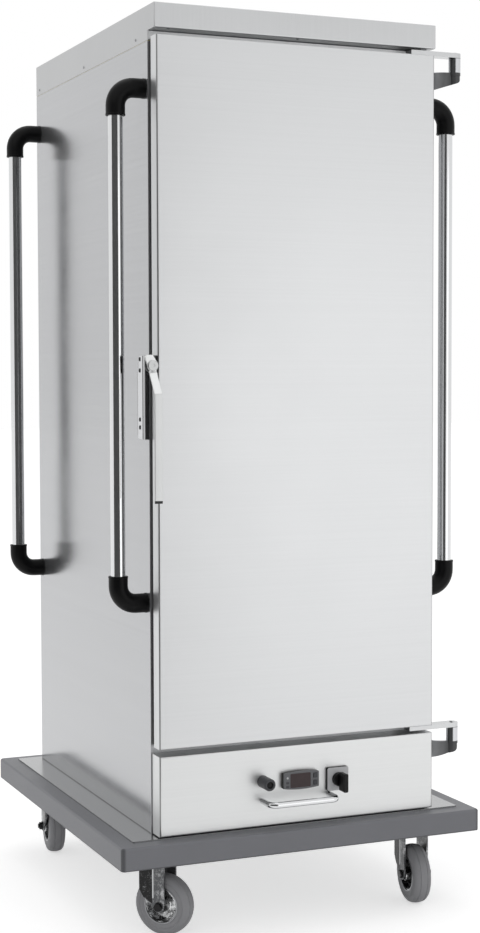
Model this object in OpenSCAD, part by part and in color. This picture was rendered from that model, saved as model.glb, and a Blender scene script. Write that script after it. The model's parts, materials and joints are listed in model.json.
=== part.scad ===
// Enclosed meal tray cart: a tall insulated cabinet on a bumper platform with four swivel casters.
// X runs across the cart, -Y is the door side, Z is up from the floor.

/* [Platform] */
// Width of the platform over its bumper
plat_w = 772; // [740:2:860]
// Depth of the platform over its bumper
plat_d = 857; // [840:1:920]
// Height of the bumper
bumper_h = 44; // [36:1:60]
// Width of the bumper seen from above
bumper_w = 34; // [26:1:44]
// Corner radius of the bumper seen from above
bumper_corner_r = 14; // [9:1:24]
// Rounding of the bumper's outer edges
bumper_edge_r = 6; // [2:0.5:8]
// Thickness of the deck sheet
deck_t = 3; // [2:0.5:4]
// Width of each side beam of the chassis
beam_w = 115; // [105:1:130]
// Width of the cross beams of the chassis
cross_w = 40; // [30:1:60]
// Wall of the chassis beams
beam_t = 2.5; // [2:0.5:4]
// Distance from the platform's middle to each bumper screw, along Y
bumper_screw_y = 244; // [200:2:300]
// Diameter of a bumper screw's head
bumper_screw_d = 9; // [7:0.5:12]

/* [Casters] */
// Height from the floor to the underside of the platform
caster_h = 161; // [156:1:180]
// Diameter of the tyre
wheel_d = 120; // [100:1:124]
// Width of the tyre
tyre_w = 36; // [28:1:38]
// Diameter of the wheel's rim
rim_d = 72; // [60:1:84]
// Distance from the swivel axis to the axle
trail = 42; // [30:1:45]
// Distance from the bumper's inner face to each swivel axis, along X
caster_inset_x = 62; // [54:1:72]
// Distance from the bumper's inner face to each swivel axis, along Y
caster_inset_y = 99.5; // [60:0.5:120]
// Diameter of the axle bolt
axle_d = 10; // [8:1:12]
// Diameter of the kingpin
kingpin_d = 12; // [10:1:16]
// Width of the caster's top plate
plate_w = 85; // [85:1:100]
// Length of the caster's top plate
plate_l = 105; // [100:1:120]
// Thickness of the caster's top plate
plate_t = 4; // [3:0.5:5]
// Bolt spacing across the top plate
bolt_gap_x = 60; // [56:1:64]
// Bolt spacing along the top plate
bolt_gap_y = 80; // [76:1:88]
// Thickness of the fork's steel
fork_t = 3.5; // [3:0.5:5]
// Clearance between the tyre and each fork leg
fork_gap = 5; // [3:0.5:8]

/* [Cabinet] */
// Width over the side walls
cab_w = 600; // [580:2:640]
// Depth from the front frame to the back
cab_d = 732; // [700:2:740]
// Height from the deck to the top of the cap
cab_h = 1580; // [1480:5:1700]
// Distance from the cabinet's back to the platform's rear edge
rear_margin = 51; // [40:1:70]
// Thickness of the sheet steel
sheet_t = 1.2; // [0.8:0.1:1.6]
// Thickness of the insulated side and back walls
wall_t = 32; // [28:1:40]
// How far the cap's fascia stands in front of the frame
cap_overhang = 36; // [30:1:40]
// Height of the cap's fascia
fascia_h = 47; // [40:1:50]
// Height of the cap's side skirt
skirt_h = 66; // [60:1:72]
// How far the door overlaps the frame above and below the cavity
door_lap = 26; // [24:1:32]
// Distance from the frame to the cap's first rivet
rivet_front = 65; // [50:1:80]
// Spacing of the cap's rivets
rivet_pitch = 320; // [280:1:322]

/* [Tray racks] */
// Number of tray levels
tray_levels = 10; // [6:1:10]
// Distance between tray levels
tray_pitch = 118; // [100:1:120]
// Height of the lowest ledge above the cavity floor
first_ledge = 45; // [40:1:60]
// How far a ledge reaches into the cavity
ledge_w = 26; // [20:1:32]
// Height of a ledge's guide lip
ledge_lip = 16; // [10:1:20]
// Thickness of the rack's sheet
rack_t = 1.5; // [1.2:0.1:2]
// Length of a ledge
ledge_len = 620; // [560:5:640]
// Width of a rack upright
upright_w = 30; // [24:1:40]

/* [Door] */
// Thickness of the door
door_t = 33; // [28:1:38]
// Width of the door
door_w = 591; // [584:1:592]
// How far the door's middle lies towards the latch side
door_offset = 2.5; // [1:0.5:3]
// Rounding of the door's front edges
door_edge_r = 3; // [1.5:0.5:5]
// Thickness of the closed gasket
gasket_t = 10; // [8:0.5:12]
// Width of the gasket
gasket_w = 14; // [10:1:16]
// Height of the gaps above and below the door
hinge_gap = 14; // [14:0.5:16]

/* [Hinges] */
// Thickness of a hinge arm
arm_t = 9.5; // [8:0.5:12]
// Width of a hinge arm
arm_w = 24; // [20:1:26]
// Length of a hinge arm on the door
arm_reach = 48; // [44:1:60]
// Distance from the side wall to the hinge pin
pin_out = 50; // [48:1:56]
// Diameter of the hinge pin
pin_d = 10; // [8:0.5:12]
// Height of the hinge barrel
barrel_h = 28; // [22:1:34]
// Height of the curved hinge bracket
bracket_h = 28; // [24:1:34]
// Thickness of the curved hinge bracket
bracket_t = 6; // [5:0.5:8]

/* [Latch] */
// Height of the lever's pivot above the deck
latch_z = 902; // [850:1:950]
// Width of the lever
lever_w = 15; // [12:0.5:17]
// Thickness of the lever
lever_t = 4; // [3:0.5:5]
// Length of the lever's straight grip
grip_len = 205; // [150:1:240]
// How far the grip stands in front of the pivot plate
crank_out = 30; // [24:1:36]
// Height of the lever's cranked part
crank_h = 42; // [34:1:50]
// Distance from the side wall to the pivot
pivot_out = 9.5; // [9.5:0.5:11]
// Diameter of the pivot bolt
pivot_d = 8; // [6:0.5:9]
// Height of the latch bracket
keeper_h = 160; // [150:1:190]

/* [Push handles] */
// Diameter of the handle tube
tube_d = 28.5; // [25:0.5:30]
// Outer diameter of the elbows
elbow_d = 37; // [35:0.5:40]
// Distance from the side wall to the tube's axis
handle_out = 56.5; // [54:0.5:64]
// Height of the lower handle end above the deck
handle_z0 = 446; // [400:2:500]
// Height of the upper handle end above the deck
handle_z1 = 1427; // [1300:2:1440]
// Distance from the cabinet's front edge to the front handle
handle_front = 23; // [21:0.5:30]
// Distance from the cabinet's back to the rear handle
handle_rear = 20; // [20:0.5:30]

/* [Heating drawer] */
// Height of the drawer front
drawer_h = 154.5; // [150:0.5:170]
// Gap between the deck and the drawer front
drawer_lift = 2.5; // [1.5:0.5:4]
// Length of the drawer box
box_len = 600; // [540:5:620]
// Height of the drawer box
box_h = 122; // [110:1:124]
// Width of the U-shaped pull
pull_w = 155; // [120:1:160]
// How far the pull stands out
pull_reach = 50; // [45:1:60]
// Diameter of the pull's bar
pull_d = 12; // [8:0.5:12]
// Diameter of the heater rod
rod_d = 8; // [6:0.5:10]
// Diameter of the fan impeller
fan_d = 190; // [150:2:200]
// Diameter of the fan motor
motor_d = 80; // [60:1:90]

/* [Controls] */
// Width of the controller's bezel
bezel_w = 76; // [70:1:80]
// Height of the controller's bezel
bezel_h = 36; // [34:1:38]
// How far the controller's bezel stands out
bezel_t = 12; // [9:0.5:14]
// Side of the square switch plate
switch_side = 47; // [42:1:52]
// Thickness of the switch plate
switch_t = 8; // [6:0.5:10]
// Diameter of the push button's collar
collar_d = 24; // [22:0.5:28]
// Length of the push button's collar
collar_len = 37; // [30:0.5:40]
// Diameter of the push button
button_d = 14; // [10:0.5:16]
// Travel of the push button
button_travel = 3; // [2:0.5:4]
// Travel of a controller key
key_travel = 1; // [0.6:0.1:1.2]

/* [Hidden] */
$fn = 64;
CORNERS = ["front_left", "front_right", "rear_left", "rear_right"];

// Clearances: running fit on a radius, a gap between moving faces, and a loose gap round a fastener
run_fit = 0.05;
face_gap = 0.3;
loose_gap = 0.4;

// Colours
steel = [0.80, 0.80, 0.81];
pale_steel = [0.86, 0.86, 0.87];
bright = [0.90, 0.90, 0.90];
zinc = [0.45, 0.46, 0.46];
grey = [0.43, 0.43, 0.45];
black = [0.10, 0.10, 0.10];

// Places of the swivel axes, from the middle of the platform
swivel_x = plat_w / 2 - bumper_w - caster_inset_x;
swivel_y = plat_d / 2 - bumper_w - caster_inset_y;

// Heights
bumper_top = caster_h + bumper_h;
deck_z = bumper_top + deck_t;
cap_top = deck_z + cab_h;
skirt_z = cap_top - skirt_h;
fascia_z = cap_top - fascia_h;
drawer_z0 = deck_z + drawer_lift;
drawer_z1 = drawer_z0 + drawer_h;
door_z0 = drawer_z1 + hinge_gap;
door_z1 = fascia_z - hinge_gap;
cavity_z0 = door_z0 + door_lap;
cavity_z1 = door_z1 - door_lap;

// Depths: the footprint's middle is at Y = 0, with the drawer's pull as the foremost point
front_from_mid = plat_d / 2 - rear_margin - cab_d - gasket_t - door_t - pull_reach;
plat_y = max(0, -(front_from_mid + plat_d / 2) / 2);
cab_back = plat_y + plat_d / 2 - rear_margin;
cab_front = cab_back - cab_d;
door_back = cab_front - gasket_t;
door_front = door_back - door_t;

// Widths
half_w = cab_w / 2;
cavity_x = half_w - wall_t;
door_x0 = -door_w / 2 - door_offset;
door_x1 = door_w / 2 - door_offset;
// Lines past the side wall and past the door's edge that the latch and the hinges are placed from
latch_gap = 2;
hinge_side_gap = 7;
latch_line = min(-half_w, door_x0 - latch_gap);
hinge_line = max(half_w, door_x1 + hinge_side_gap);

// A box given by its corners
module block(x, y, z) {
    translate([x[0], y[0], z[0]]) cube([x[1] - x[0], y[1] - y[0], z[1] - z[0]]);
}

// A rectangle with round corners, about its middle
module round_rect(w, d, r) {
    square([w - 2 * r, d], center = true);
    square([w, d - 2 * r], center = true);
    for (sx = [-1, 1], sy = [-1, 1])
        translate([sx * (w / 2 - r), sy * (d / 2 - r)]) circle(r);
}

// A cylinder along X or Y, starting at the origin
module along_x(d, len) { rotate([0, 90, 0]) cylinder(d = d, h = len); }
module along_y(d, len) { rotate([-90, 0, 0]) cylinder(d = d, h = len); }

// ---------------------------------------------------------------- platform
// The bumper's section with its outer face at the given width: x outwards, y upwards
module bumper_section(w) {
    r = bumper_edge_r;
    square([w - r, bumper_h]);
    translate([0, r]) square([w, bumper_h - 2 * r]);
    for (z = [r, bumper_h - r]) translate([w - r, z]) circle(r);
}

module bumper() {
    r = bumper_corner_r;
    in_x = plat_w / 2 - bumper_w;
    in_y = plat_d / 2 - bumper_w;
    cx = plat_w / 2 - r;
    cy = plat_d / 2 - r;
    color(grey) translate([0, plat_y, caster_h]) difference() {
        union() {
            for (s = [0, 180]) rotate([0, 0, s]) {
                translate([0, -in_y, 0]) rotate([90, 0, -90]) linear_extrude(height = 2 * cx, center = true)
                    bumper_section(bumper_w);
                translate([in_x, 0, 0]) rotate([90, 0, 0]) linear_extrude(height = 2 * cy, center = true)
                    bumper_section(bumper_w);
            }
            for (sx = [-1, 1], sy = [-1, 1])
                translate([sx * cx, sy * cy, 0]) rotate_extrude() bumper_section(r);
        }
        translate([-in_x, -in_y, -1]) cube([2 * in_x, 2 * in_y, bumper_h + 2]);
        for (sx = [-1, 1], sy = [-1, 1])
            translate([sx * plat_w / 2, sy * bumper_screw_y, bumper_h / 2]) rotate([0, -sx * 90, 0])
                cylinder(d = bumper_screw_d + loose_gap, h = 3);
    }
}

module bumper_screws() {
    color(zinc) for (sx = [-1, 1], sy = [-1, 1])
        translate([sx * (plat_w / 2 - 3), plat_y + sy * bumper_screw_y, caster_h + bumper_h / 2])
            rotate([0, sx * 90, 0]) cylinder(d = bumper_screw_d, h = 2.4);
}

// A closed box beam given by its corners
module beam(x, y) {
    difference() {
        block(x, y, [caster_h, bumper_top]);
        block([x[0] + beam_t, x[1] - beam_t], [y[0] + beam_t, y[1] - beam_t],
              [caster_h + beam_t, bumper_top - beam_t]);
    }
}

module chassis_frame() {
    out_x = plat_w / 2 - bumper_w;
    out_y = plat_d / 2 - bumper_w;
    in_x = out_x - beam_w;
    color(zinc) difference() {
        translate([0, plat_y, 0]) union() {
            for (s = [-1, 1]) beam(s > 0 ? [in_x, out_x] : [-out_x, -in_x], [-out_y, out_y]);
            for (y = [-out_y, -cross_w / 2, out_y - cross_w]) beam([-in_x, in_x], [y, y + cross_w]);
        }
        at_bolts() translate([0, 0, caster_h - 1]) cylinder(d = 8 + 2 * loose_gap, h = beam_t + 2);
    }
}

module deck_sheet() {
    color(steel) translate([0, plat_y, bumper_top]) linear_extrude(height = deck_t)
        round_rect(plat_w - 2 * bumper_w, plat_d - 2 * bumper_w, 3);
}

// ---------------------------------------------------------------- casters
wheel_r = wheel_d / 2;
leg_in = tyre_w / 2 + fork_gap;
leg_out = leg_in + fork_t;
race_t = 5;
race_d = 66;
crown_top = caster_h - plate_t - race_t - face_gap;
crown_z = crown_top - 14;
head_h = 5;
head_d = kingpin_d + 10;
// Rest angle of each caster about its swivel axis
turns = [41, -7, 173, 158];

module at_caster(i) {
    translate([(i % 2 == 0 ? -1 : 1) * swivel_x, plat_y + (i < 2 ? -1 : 1) * swivel_y, 0]) children();
}

module at_bolts() {
    for (i = [0:3], sx = [-1, 1], sy = [-1, 1])
        at_caster(i) translate([sx * bolt_gap_x / 2, sy * bolt_gap_y / 2, 0]) children();
}

module caster_plates() {
    color(zinc) difference() {
        for (i = [0:3]) at_caster(i) {
            translate([0, 0, caster_h - plate_t]) linear_extrude(height = plate_t)
                round_rect(plate_w, plate_l, 6);
            translate([0, 0, caster_h - plate_t - race_t]) cylinder(d = race_d, h = race_t);
            translate([0, 0, crown_z - head_h - face_gap]) {
                cylinder(d = kingpin_d, h = caster_h - plate_t - crown_z + head_h);
                cylinder(d = head_d, h = head_h);
            }
        }
        at_bolts() translate([0, 0, caster_h - plate_t - 1]) cylinder(d = 8 + 2 * loose_gap, h = plate_t + 2);
    }
}

module caster_bolts() {
    color(zinc) at_bolts() {
        translate([0, 0, caster_h - plate_t - 5]) cylinder(d = 13, h = 5, $fn = 6);
        translate([0, 0, caster_h - plate_t - 1]) cylinder(d = 8, h = plate_t + beam_t + 11);
        translate([0, 0, caster_h + beam_t]) difference() {
            cylinder(d = 13, h = 6.5, $fn = 6);
            translate([0, 0, -1]) cylinder(d = 7.9, h = 9);
        }
    }
}

module in_caster(i) {
    at_caster(i) rotate([0, 0, turns[i]]) children();
}

module caster_fork(i) {
    leg_r = 12;
    crown_back = race_d / 2 - 4;
    // The leg drops straight from the crown, and low down its leading edge turns in to the axle
    leg_lead = 1;
    leg_rear = -trail - leg_r;
    knee = wheel_r / 2;
    color(zinc) in_caster(i) difference() {
        union() {
            translate([0, 0, crown_z]) cylinder(d = race_d, h = crown_top - crown_z);
            block([-leg_out, leg_out], [leg_rear, crown_back], [crown_z, crown_z + fork_t]);
            for (s = [-1, 1]) translate([s > 0 ? leg_in : -leg_out, 0, 0])
                rotate([90, 0, 90]) linear_extrude(height = fork_t) {
                    polygon([[leg_lead, crown_z + fork_t], [leg_lead, wheel_r + knee],
                             [leg_lead - knee * 0.3, wheel_r + knee * 0.52], [leg_r - trail, wheel_r],
                             [leg_rear, wheel_r], [leg_rear, crown_z + fork_t]]);
                    translate([-trail, wheel_r]) circle(leg_r);
                }
        }
        translate([0, 0, crown_z - 1]) cylinder(d = kingpin_d + 2 * run_fit, h = crown_top - crown_z + 2);
        translate([-leg_out - 1, -trail, wheel_r]) along_x(axle_d + 0.4, 2 * leg_out + 2);
    }
}

module caster_axle(i) {
    head = 6;
    color(steel) in_caster(i) translate([0, -trail, wheel_r]) {
        translate([-leg_out - 2, 0, 0]) along_x(axle_d, 2 * leg_out + 12);
        translate([-leg_out - head, 0, 0]) rotate([0, 90, 0]) cylinder(d = axle_d * 1.8, h = head, $fn = 6);
        translate([leg_out, 0, 0]) rotate([0, 90, 0]) cylinder(d = axle_d * 1.8, h = head, $fn = 6);
    }
}

module wheel_rim(i) {
    hub_r = 14;
    web_t = 8;
    rim_w = tyre_w - 4;
    hub_w = 2 * (leg_in - 1);
    bore_r = axle_d / 2 + run_fit;
    color(zinc) in_caster(i) translate([0, -trail, wheel_r]) rotate([0, 90, 0]) rotate_extrude() {
        translate([bore_r, -hub_w / 2]) square([hub_r - bore_r, hub_w]);
        translate([hub_r - 1, -web_t / 2]) square([rim_d / 2 - hub_r, web_t]);
        translate([rim_d / 2 - 6, -rim_w / 2]) square([6, rim_w]);
    }
}

module tyre(i) {
    r0 = rim_d / 2;
    rib = 1.2;
    w = tyre_w / 2;
    color(grey) in_caster(i) translate([0, -trail, wheel_r]) rotate([0, 90, 0]) rotate_extrude() difference() {
        polygon([[r0, -w + 2], [r0 + 4, -w], [wheel_r - 11, -w], [wheel_r - 6, -w + 1.5],
                 [wheel_r - 2, -w + 6], [wheel_r - 0.4, -w + 12], [wheel_r, 0],
                 [wheel_r - 0.4, w - 12], [wheel_r - 2, w - 6], [wheel_r - 6, w - 1.5],
                 [wheel_r - 11, w], [r0 + 4, w], [r0, w - 2]]);
        for (s = [-1, 1]) translate([wheel_r - 14, s * w]) circle(rib, $fn = 16);
        for (s = [-1, 1]) translate([wheel_r - 0.6, s * 7.5]) circle(rib, $fn = 16);
    }
}

// ---------------------------------------------------------------- cabinet
bay_x = cavity_x + 8;
bay_z1 = drawer_z0 + box_h + 18;
frame_t = 1.5;
liner_z0 = cavity_z0 - sheet_t;
liner_back = cab_back - wall_t;
wall_in = half_w - sheet_t;
inlet_x = 170;
inlet_up = 90;
inlet_z = deck_z + inlet_up;
inlet_w = 50;
inlet_h = 30;

// Places of the handle ends on one side wall: [y, z]
handle_ends = [for (y = [cab_front + handle_front, cab_back - handle_rear],
                    z = [handle_z0, handle_z1]) [y, deck_z + z]];

module outer_shell() {
    lip = 20;
    color(steel) difference() {
        union() {
            block([-half_w, half_w], [cab_front + frame_t, cab_back], [deck_z, skirt_z - 0.8]);
        }
        block([-wall_in, wall_in], [cab_front, cab_back - sheet_t], [deck_z + sheet_t, skirt_z]);
        block([-wall_in + lip, wall_in - lip], [cab_front, cab_back - sheet_t - lip],
              [deck_z - 1, deck_z + 2 * sheet_t]);
        block([inlet_x - inlet_w / 2 + 6, inlet_x + inlet_w / 2 - 6], [cab_back - 5, cab_back + 1],
              [inlet_z - inlet_h / 2 + 4, inlet_z + inlet_h / 2 - 4]);
        for (s = [-1, 1], e = handle_ends)
            translate([s > 0 ? wall_in - 1 : -half_w - 1, e[0], e[1]]) along_x(8 + loose_gap, sheet_t + 2);
        for (p = keeper_screws) translate([-half_w - 1, p[0], p[1]]) along_x(5 + loose_gap, sheet_t + 2);
        for (p = bracket_screws) translate([wall_in - 1, p[0], p[1]]) along_x(6 + loose_gap, sheet_t + 2);
    }
}

module front_frame() {
    color(pale_steel) difference() {
        block([-half_w, half_w], [cab_front, cab_front + frame_t], [deck_z, skirt_z - 0.8]);
        block([-cavity_x, cavity_x], [cab_front - 1, cab_front + 3], [cavity_z0, cavity_z1]);
        block([-bay_x, bay_x], [cab_front - 1, cab_front + 3], [deck_z - 1, bay_z1]);
    }
}

grille_x = cavity_x - 30;
grille_y0 = cab_front + 50;
grille_y1 = liner_back - 50;

module inner_liner() {
    color(pale_steel) difference() {
        block([-cavity_x - sheet_t, cavity_x + sheet_t], [cab_front + frame_t, liner_back + sheet_t],
              [liner_z0, cavity_z1 + sheet_t]);
        block([-cavity_x, cavity_x], [cab_front, liner_back], [cavity_z0, cavity_z1]);
        block([-grille_x, grille_x], [grille_y0, grille_y1], [liner_z0 - 1, cavity_z0 + 1]);
    }
}

module cavity_grille() {
    lap = 15;
    slot_w = 10;
    slot_len = (grille_x - 20) / 2;
    rows = floor((grille_y1 - grille_y0) / 50);
    pitch = (grille_y1 - grille_y0) / rows;
    color(steel) difference() {
        block([-grille_x - lap, grille_x + lap], [grille_y0 - lap, grille_y1 + lap], [cavity_z0, cavity_z0 + 2]);
        for (r = [0:rows - 1], c = [-3, -1, 1, 3])
            translate([c * (grille_x / 4), grille_y0 + (r + 0.5) * pitch, cavity_z0 - 1])
                linear_extrude(height = 4) square([slot_len - 20, slot_w], center = true);
    }
}

module wall_insulation() {
    in_x = cavity_x + sheet_t;
    y0 = cab_front + frame_t;
    y1 = cab_back - sheet_t;
    color([0.9, 0.85, 0.6]) difference() {
        block([-wall_in, wall_in], [y0, y1], [bay_z1, cap_top - sheet_t - 20]);
        block([-in_x, in_x], [y0 - 1, liner_back + sheet_t], [bay_z1 - 1, cavity_z1 + sheet_t]);
        for (s = [-1, 1], e = handle_ends)
            translate([s > 0 ? in_x - 1 : -wall_in - 1, e[0], e[1]]) along_x(18, wall_t);
        for (p = keeper_screws) translate([-wall_in - 1, p[0], p[1]]) along_x(9, wall_t / 2);
        for (p = bracket_screws) translate([wall_in - wall_t / 2, p[0], p[1]]) along_x(10, wall_t / 2 + 1);
    }
}

module top_cap() {
    front = cab_front - cap_overhang;
    in_y1 = cab_back - sheet_t;
    color(pale_steel) difference() {
        union() {
            block([-half_w, half_w], [cab_front, cab_back], [skirt_z, cap_top]);
            block([-half_w, half_w], [front, cab_back], [fascia_z, cap_top]);
        }
        block([-wall_in, wall_in], [cab_front + sheet_t, in_y1], [skirt_z - 1, cap_top - sheet_t]);
        block([-wall_in, wall_in], [front + sheet_t, cab_front - sheet_t],
              [fascia_z + sheet_t, cap_top - sheet_t]);
    }
}

cap_screw_x = [-cavity_x, 0, cavity_x];
rivet_d = 6;
rivet_rear = 2 * rivet_d;
rivet_count = floor((cab_d - rivet_front - rivet_rear) / rivet_pitch) + 1;

module cap_rivets() {
    color(zinc) {
        for (s = [-1, 1], k = [0:rivet_count - 1])
            translate([s * half_w, cab_front + rivet_front + k * rivet_pitch, skirt_z + 11])
                rotate([0, s * 90, 0]) cylinder(d = rivet_d, h = 1.2);
        for (x = cap_screw_x) translate([x, cab_front - cap_overhang + 9, fascia_z - 1.2])
            cylinder(d = 7, h = 1.2);
    }
}

// ---------------------------------------------------------------- tray racks
ledge_y0 = (cab_front + liner_back) / 2 - ledge_len / 2;
upright_inset = 90;

function ledge_z(k) = cavity_z0 + first_ledge + k * tray_pitch;

module tray_rack() {
    top = ledge_z(tray_levels - 1) + ledge_lip + 30;
    web_x = cavity_x - rack_t;
    lip_x = web_x - rack_t;
    color(bright) {
        for (y = [ledge_y0 + upright_inset, ledge_y0 + ledge_len - upright_inset - upright_w])
            block([web_x, cavity_x], [y, y + upright_w], [cavity_z0 + 2, top]);
        for (k = [0:tray_levels - 1]) {
            block([lip_x, web_x], [ledge_y0, ledge_y0 + ledge_len], [ledge_z(k), ledge_z(k) + ledge_lip]);
            block([lip_x - ledge_w, web_x], [ledge_y0, ledge_y0 + ledge_len],
                  [ledge_z(k) - rack_t, ledge_z(k)]);
        }
    }
}

module tray_rack_left() { mirror([1, 0, 0]) tray_rack(); }
module tray_rack_right() { tray_rack(); }

// ---------------------------------------------------------------- push handles
socket_len = 19;
bend_r = 35;

// Places one handle's children on each side wall, front and rear, in the right wall's frame
module at_handles() {
    for (s = [-1, 1], y = [cab_front + handle_front, cab_back - handle_rear])
        translate([s * half_w, y, deck_z]) rotate([0, 0, s > 0 ? 0 : 180]) children();
}

module handle_tubes() {
    depth = socket_len - 3;
    color(bright) at_handles()
        translate([handle_out, 0, handle_z0 + bend_r + socket_len - depth])
            cylinder(d = tube_d, h = handle_z1 - handle_z0 - 2 * (bend_r + socket_len - depth));
}

// An elbow from the wall at the origin, with its socket pointing down
module elbow() {
    wall_len = handle_out - bend_r;
    difference() {
        union() {
            along_x(elbow_d, wall_len);
            translate([wall_len, 0, -bend_r]) rotate([90, 0, 0]) rotate_extrude(angle = 90)
                translate([bend_r, 0]) circle(d = elbow_d);
            translate([handle_out, 0, -bend_r - socket_len]) cylinder(d = elbow_d, h = socket_len);
        }
        translate([handle_out, 0, -bend_r - socket_len - 1]) cylinder(d = tube_d, h = socket_len - 3 + 1);
        translate([-1, 0, 0]) along_x(8.2, 21);
    }
}

module handle_elbows() {
    color(black) at_handles() {
        translate([0, 0, handle_z1]) elbow();
        translate([0, 0, handle_z0]) mirror([0, 0, 1]) elbow();
    }
}

// Screws in the cabinet's walls: handle bolts from inside, latch and hinge bracket screws from outside
module body_screws() {
    color(zinc) {
        at_handles() for (z = [handle_z0, handle_z1]) translate([0, 0, z]) {
            translate([-sheet_t, 0, 0]) along_x(8, 18);
            translate([-sheet_t - 6, 0, 0]) along_x(14, 6);
        }
        for (p = keeper_screws) translate([-half_w - keeper_t - 1.5, p[0], p[1]]) {
            along_x(8, 1.5);
            along_x(5, keeper_t + sheet_t + 6);
        }
        for (p = bracket_screws) translate([half_w - sheet_t - 6, p[0], p[1]]) {
            along_x(6, 6 + sheet_t + bracket_t);
            translate([6 + sheet_t + bracket_t, 0, 0]) along_x(10, 3);
        }
    }
}

// ---------------------------------------------------------------- hinges
pin_x = hinge_line + pin_out;
pin_y = (door_front + door_back) / 2 + 3;
barrel_r = 12;
flange_h = 56;
flange_len = 60;
flange_back = 5;
// How far the bracket's bend ends before the pin
bend_in = 10;
// How far the pin stands above the arm, and how deep it sits in the bracket
pin_end = 2;
pin_sink = bracket_h * 0.5;
flange_y0 = cab_front + flange_back;
flange_y1 = flange_y0 + flange_len;
// Underside of each door arm
arm_z = [door_z0 - arm_t, door_z1];
// Top of each bracket, which is the foot of its barrel
function bracket_top(k) = arm_z[k] - face_gap - barrel_h;
bracket_screws = [for (k = [0, 1], fy = [0.3, 0.77], fz = [-0.25, 0.25])
    if (fy > 0.5 || fz < 0) [flange_y0 + fy * flange_len, bracket_top(k) - bracket_h / 2 + fz * flange_h]];

module hinge_brackets() {
    ring_r = pin_out - bend_in;
    ring_x = hinge_line + ring_r;
    ring_y = pin_y - bend_in / 2 + bracket_t / 2 - 2 + ring_r;
    out_x = pin_x + barrel_r;
    // Seen from the front the bracket tapers from the wall to a round corner under the barrel
    root = [half_w - 1, -bracket_h * 1.35];
    corner = bracket_h * 0.64;
    tip = [out_x - corner, corner - bracket_h * 0.82];
    reach = norm(tip - root);
    slope = atan2(tip[1] - root[1], tip[0] - root[0]) - asin(corner / reach);
    touch = root + sqrt(reach * reach - corner * corner) * [cos(slope), sin(slope)];
    color(steel) for (k = [0, 1]) difference() {
        union() {
            translate([0, 0, bracket_top(k)]) intersection() {
                translate([0, 0, root[1]]) linear_extrude(height = -root[1]) {
                    difference() {
                        translate([ring_x, ring_y]) circle(ring_r);
                        translate([ring_x, ring_y]) circle(ring_r - bracket_t);
                        translate([ring_x, ring_y - 2 * ring_r]) square([2 * ring_r, 4 * ring_r]);
                        translate([ring_x - 2 * ring_r, ring_y]) square([4 * ring_r, 2 * ring_r]);
                    }
                    translate([ring_x - 0.5, ring_y - ring_r]) square([bend_in + 2, bracket_t]);
                    translate([half_w, ring_y - 0.5]) square([hinge_line - half_w + bracket_t, bracket_t]);
                    translate([pin_x, pin_y]) circle(barrel_r - 1);
                }
                translate([0, ring_y + 2 * ring_r, 0]) rotate([90, 0, 0]) linear_extrude(height = 4 * ring_r) {
                    polygon([root, touch, tip, [tip[0], 1], [root[0], 1]]);
                    translate([root[0], tip[1]]) square([out_x - root[0], 1 - tip[1]]);
                    translate(tip) circle(corner);
                }
            }
            translate([pin_x, pin_y, bracket_top(k) - 6]) cylinder(r = barrel_r, h = barrel_h + 6);
            block([half_w, half_w + bracket_t], [flange_y0, flange_y1],
                  [bracket_top(k) - (bracket_h + flange_h) / 2, bracket_top(k) + (flange_h - bracket_h) / 2]);
        }
        translate([pin_x, pin_y, bracket_top(k) - pin_sink]) cylinder(d = pin_d, h = pin_sink + barrel_h + 4);
        for (p = bracket_screws) translate([half_w - 1, p[0], p[1]]) along_x(6 + loose_gap, bracket_t + 2);
    }
}

module hinge_pins() {
    color(bright) for (k = [0, 1])
        translate([pin_x, pin_y, bracket_top(k) - pin_sink])
            cylinder(d = pin_d, h = pin_sink + barrel_h + face_gap + arm_t + pin_end);
}

module hinge_arms() {
    screw_x = [door_x1 - arm_reach + 10, door_x1 - 12];
    color(steel) for (k = [0, 1]) difference() {
        translate([0, 0, arm_z[k]]) linear_extrude(height = arm_t) {
            translate([door_x1 - arm_reach, pin_y - arm_w / 2])
                square([pin_x - door_x1 + arm_reach, arm_w]);
            translate([pin_x, pin_y]) circle(arm_w / 2);
        }
        translate([pin_x, pin_y, arm_z[k] - 1]) cylinder(d = pin_d + 2 * run_fit, h = arm_t + 2);
        at_arm_screws(k) {
            translate([0, 0, -1]) cylinder(d = 6 + loose_gap, h = arm_t + 2);
            translate([0, 0, arm_t - 4]) cylinder(d = 11 + loose_gap, h = 5);
        }
    }
}

// Screw places in an arm, Z away from the door and 0 on the door's face
module at_arm_screws(k) {
    for (x = [door_x1 - arm_reach + 11, door_x1 - 12])
        translate([x, pin_y, k == 0 ? door_z0 : door_z1]) mirror([0, 0, k == 0 ? 1 : 0]) children();
}

module door_screws() {
    color(bright) for (k = [0, 1]) at_arm_screws(k) {
        translate([0, 0, -sheet_t - 3]) cylinder(d = 6, h = arm_t + sheet_t);
        translate([0, 0, arm_t - 4]) cylinder(d = 11, h = 3.6);
    }
}

// ---------------------------------------------------------------- door
foam_gap = 6;

// The door's outline from above, between two distances from its edges
module door_plan(inset) {
    w = door_w - 2 * inset;
    r = door_edge_r;
    y0 = door_front + inset;
    translate([door_x0 + inset, y0 + r]) square([w, door_back - y0 - r]);
    translate([door_x0 + inset + r, y0]) square([w - 2 * r, r + 1]);
    for (x = [door_x0 + inset + r, door_x1 - inset - r]) translate([x, y0 + r]) circle(r);
}

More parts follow.
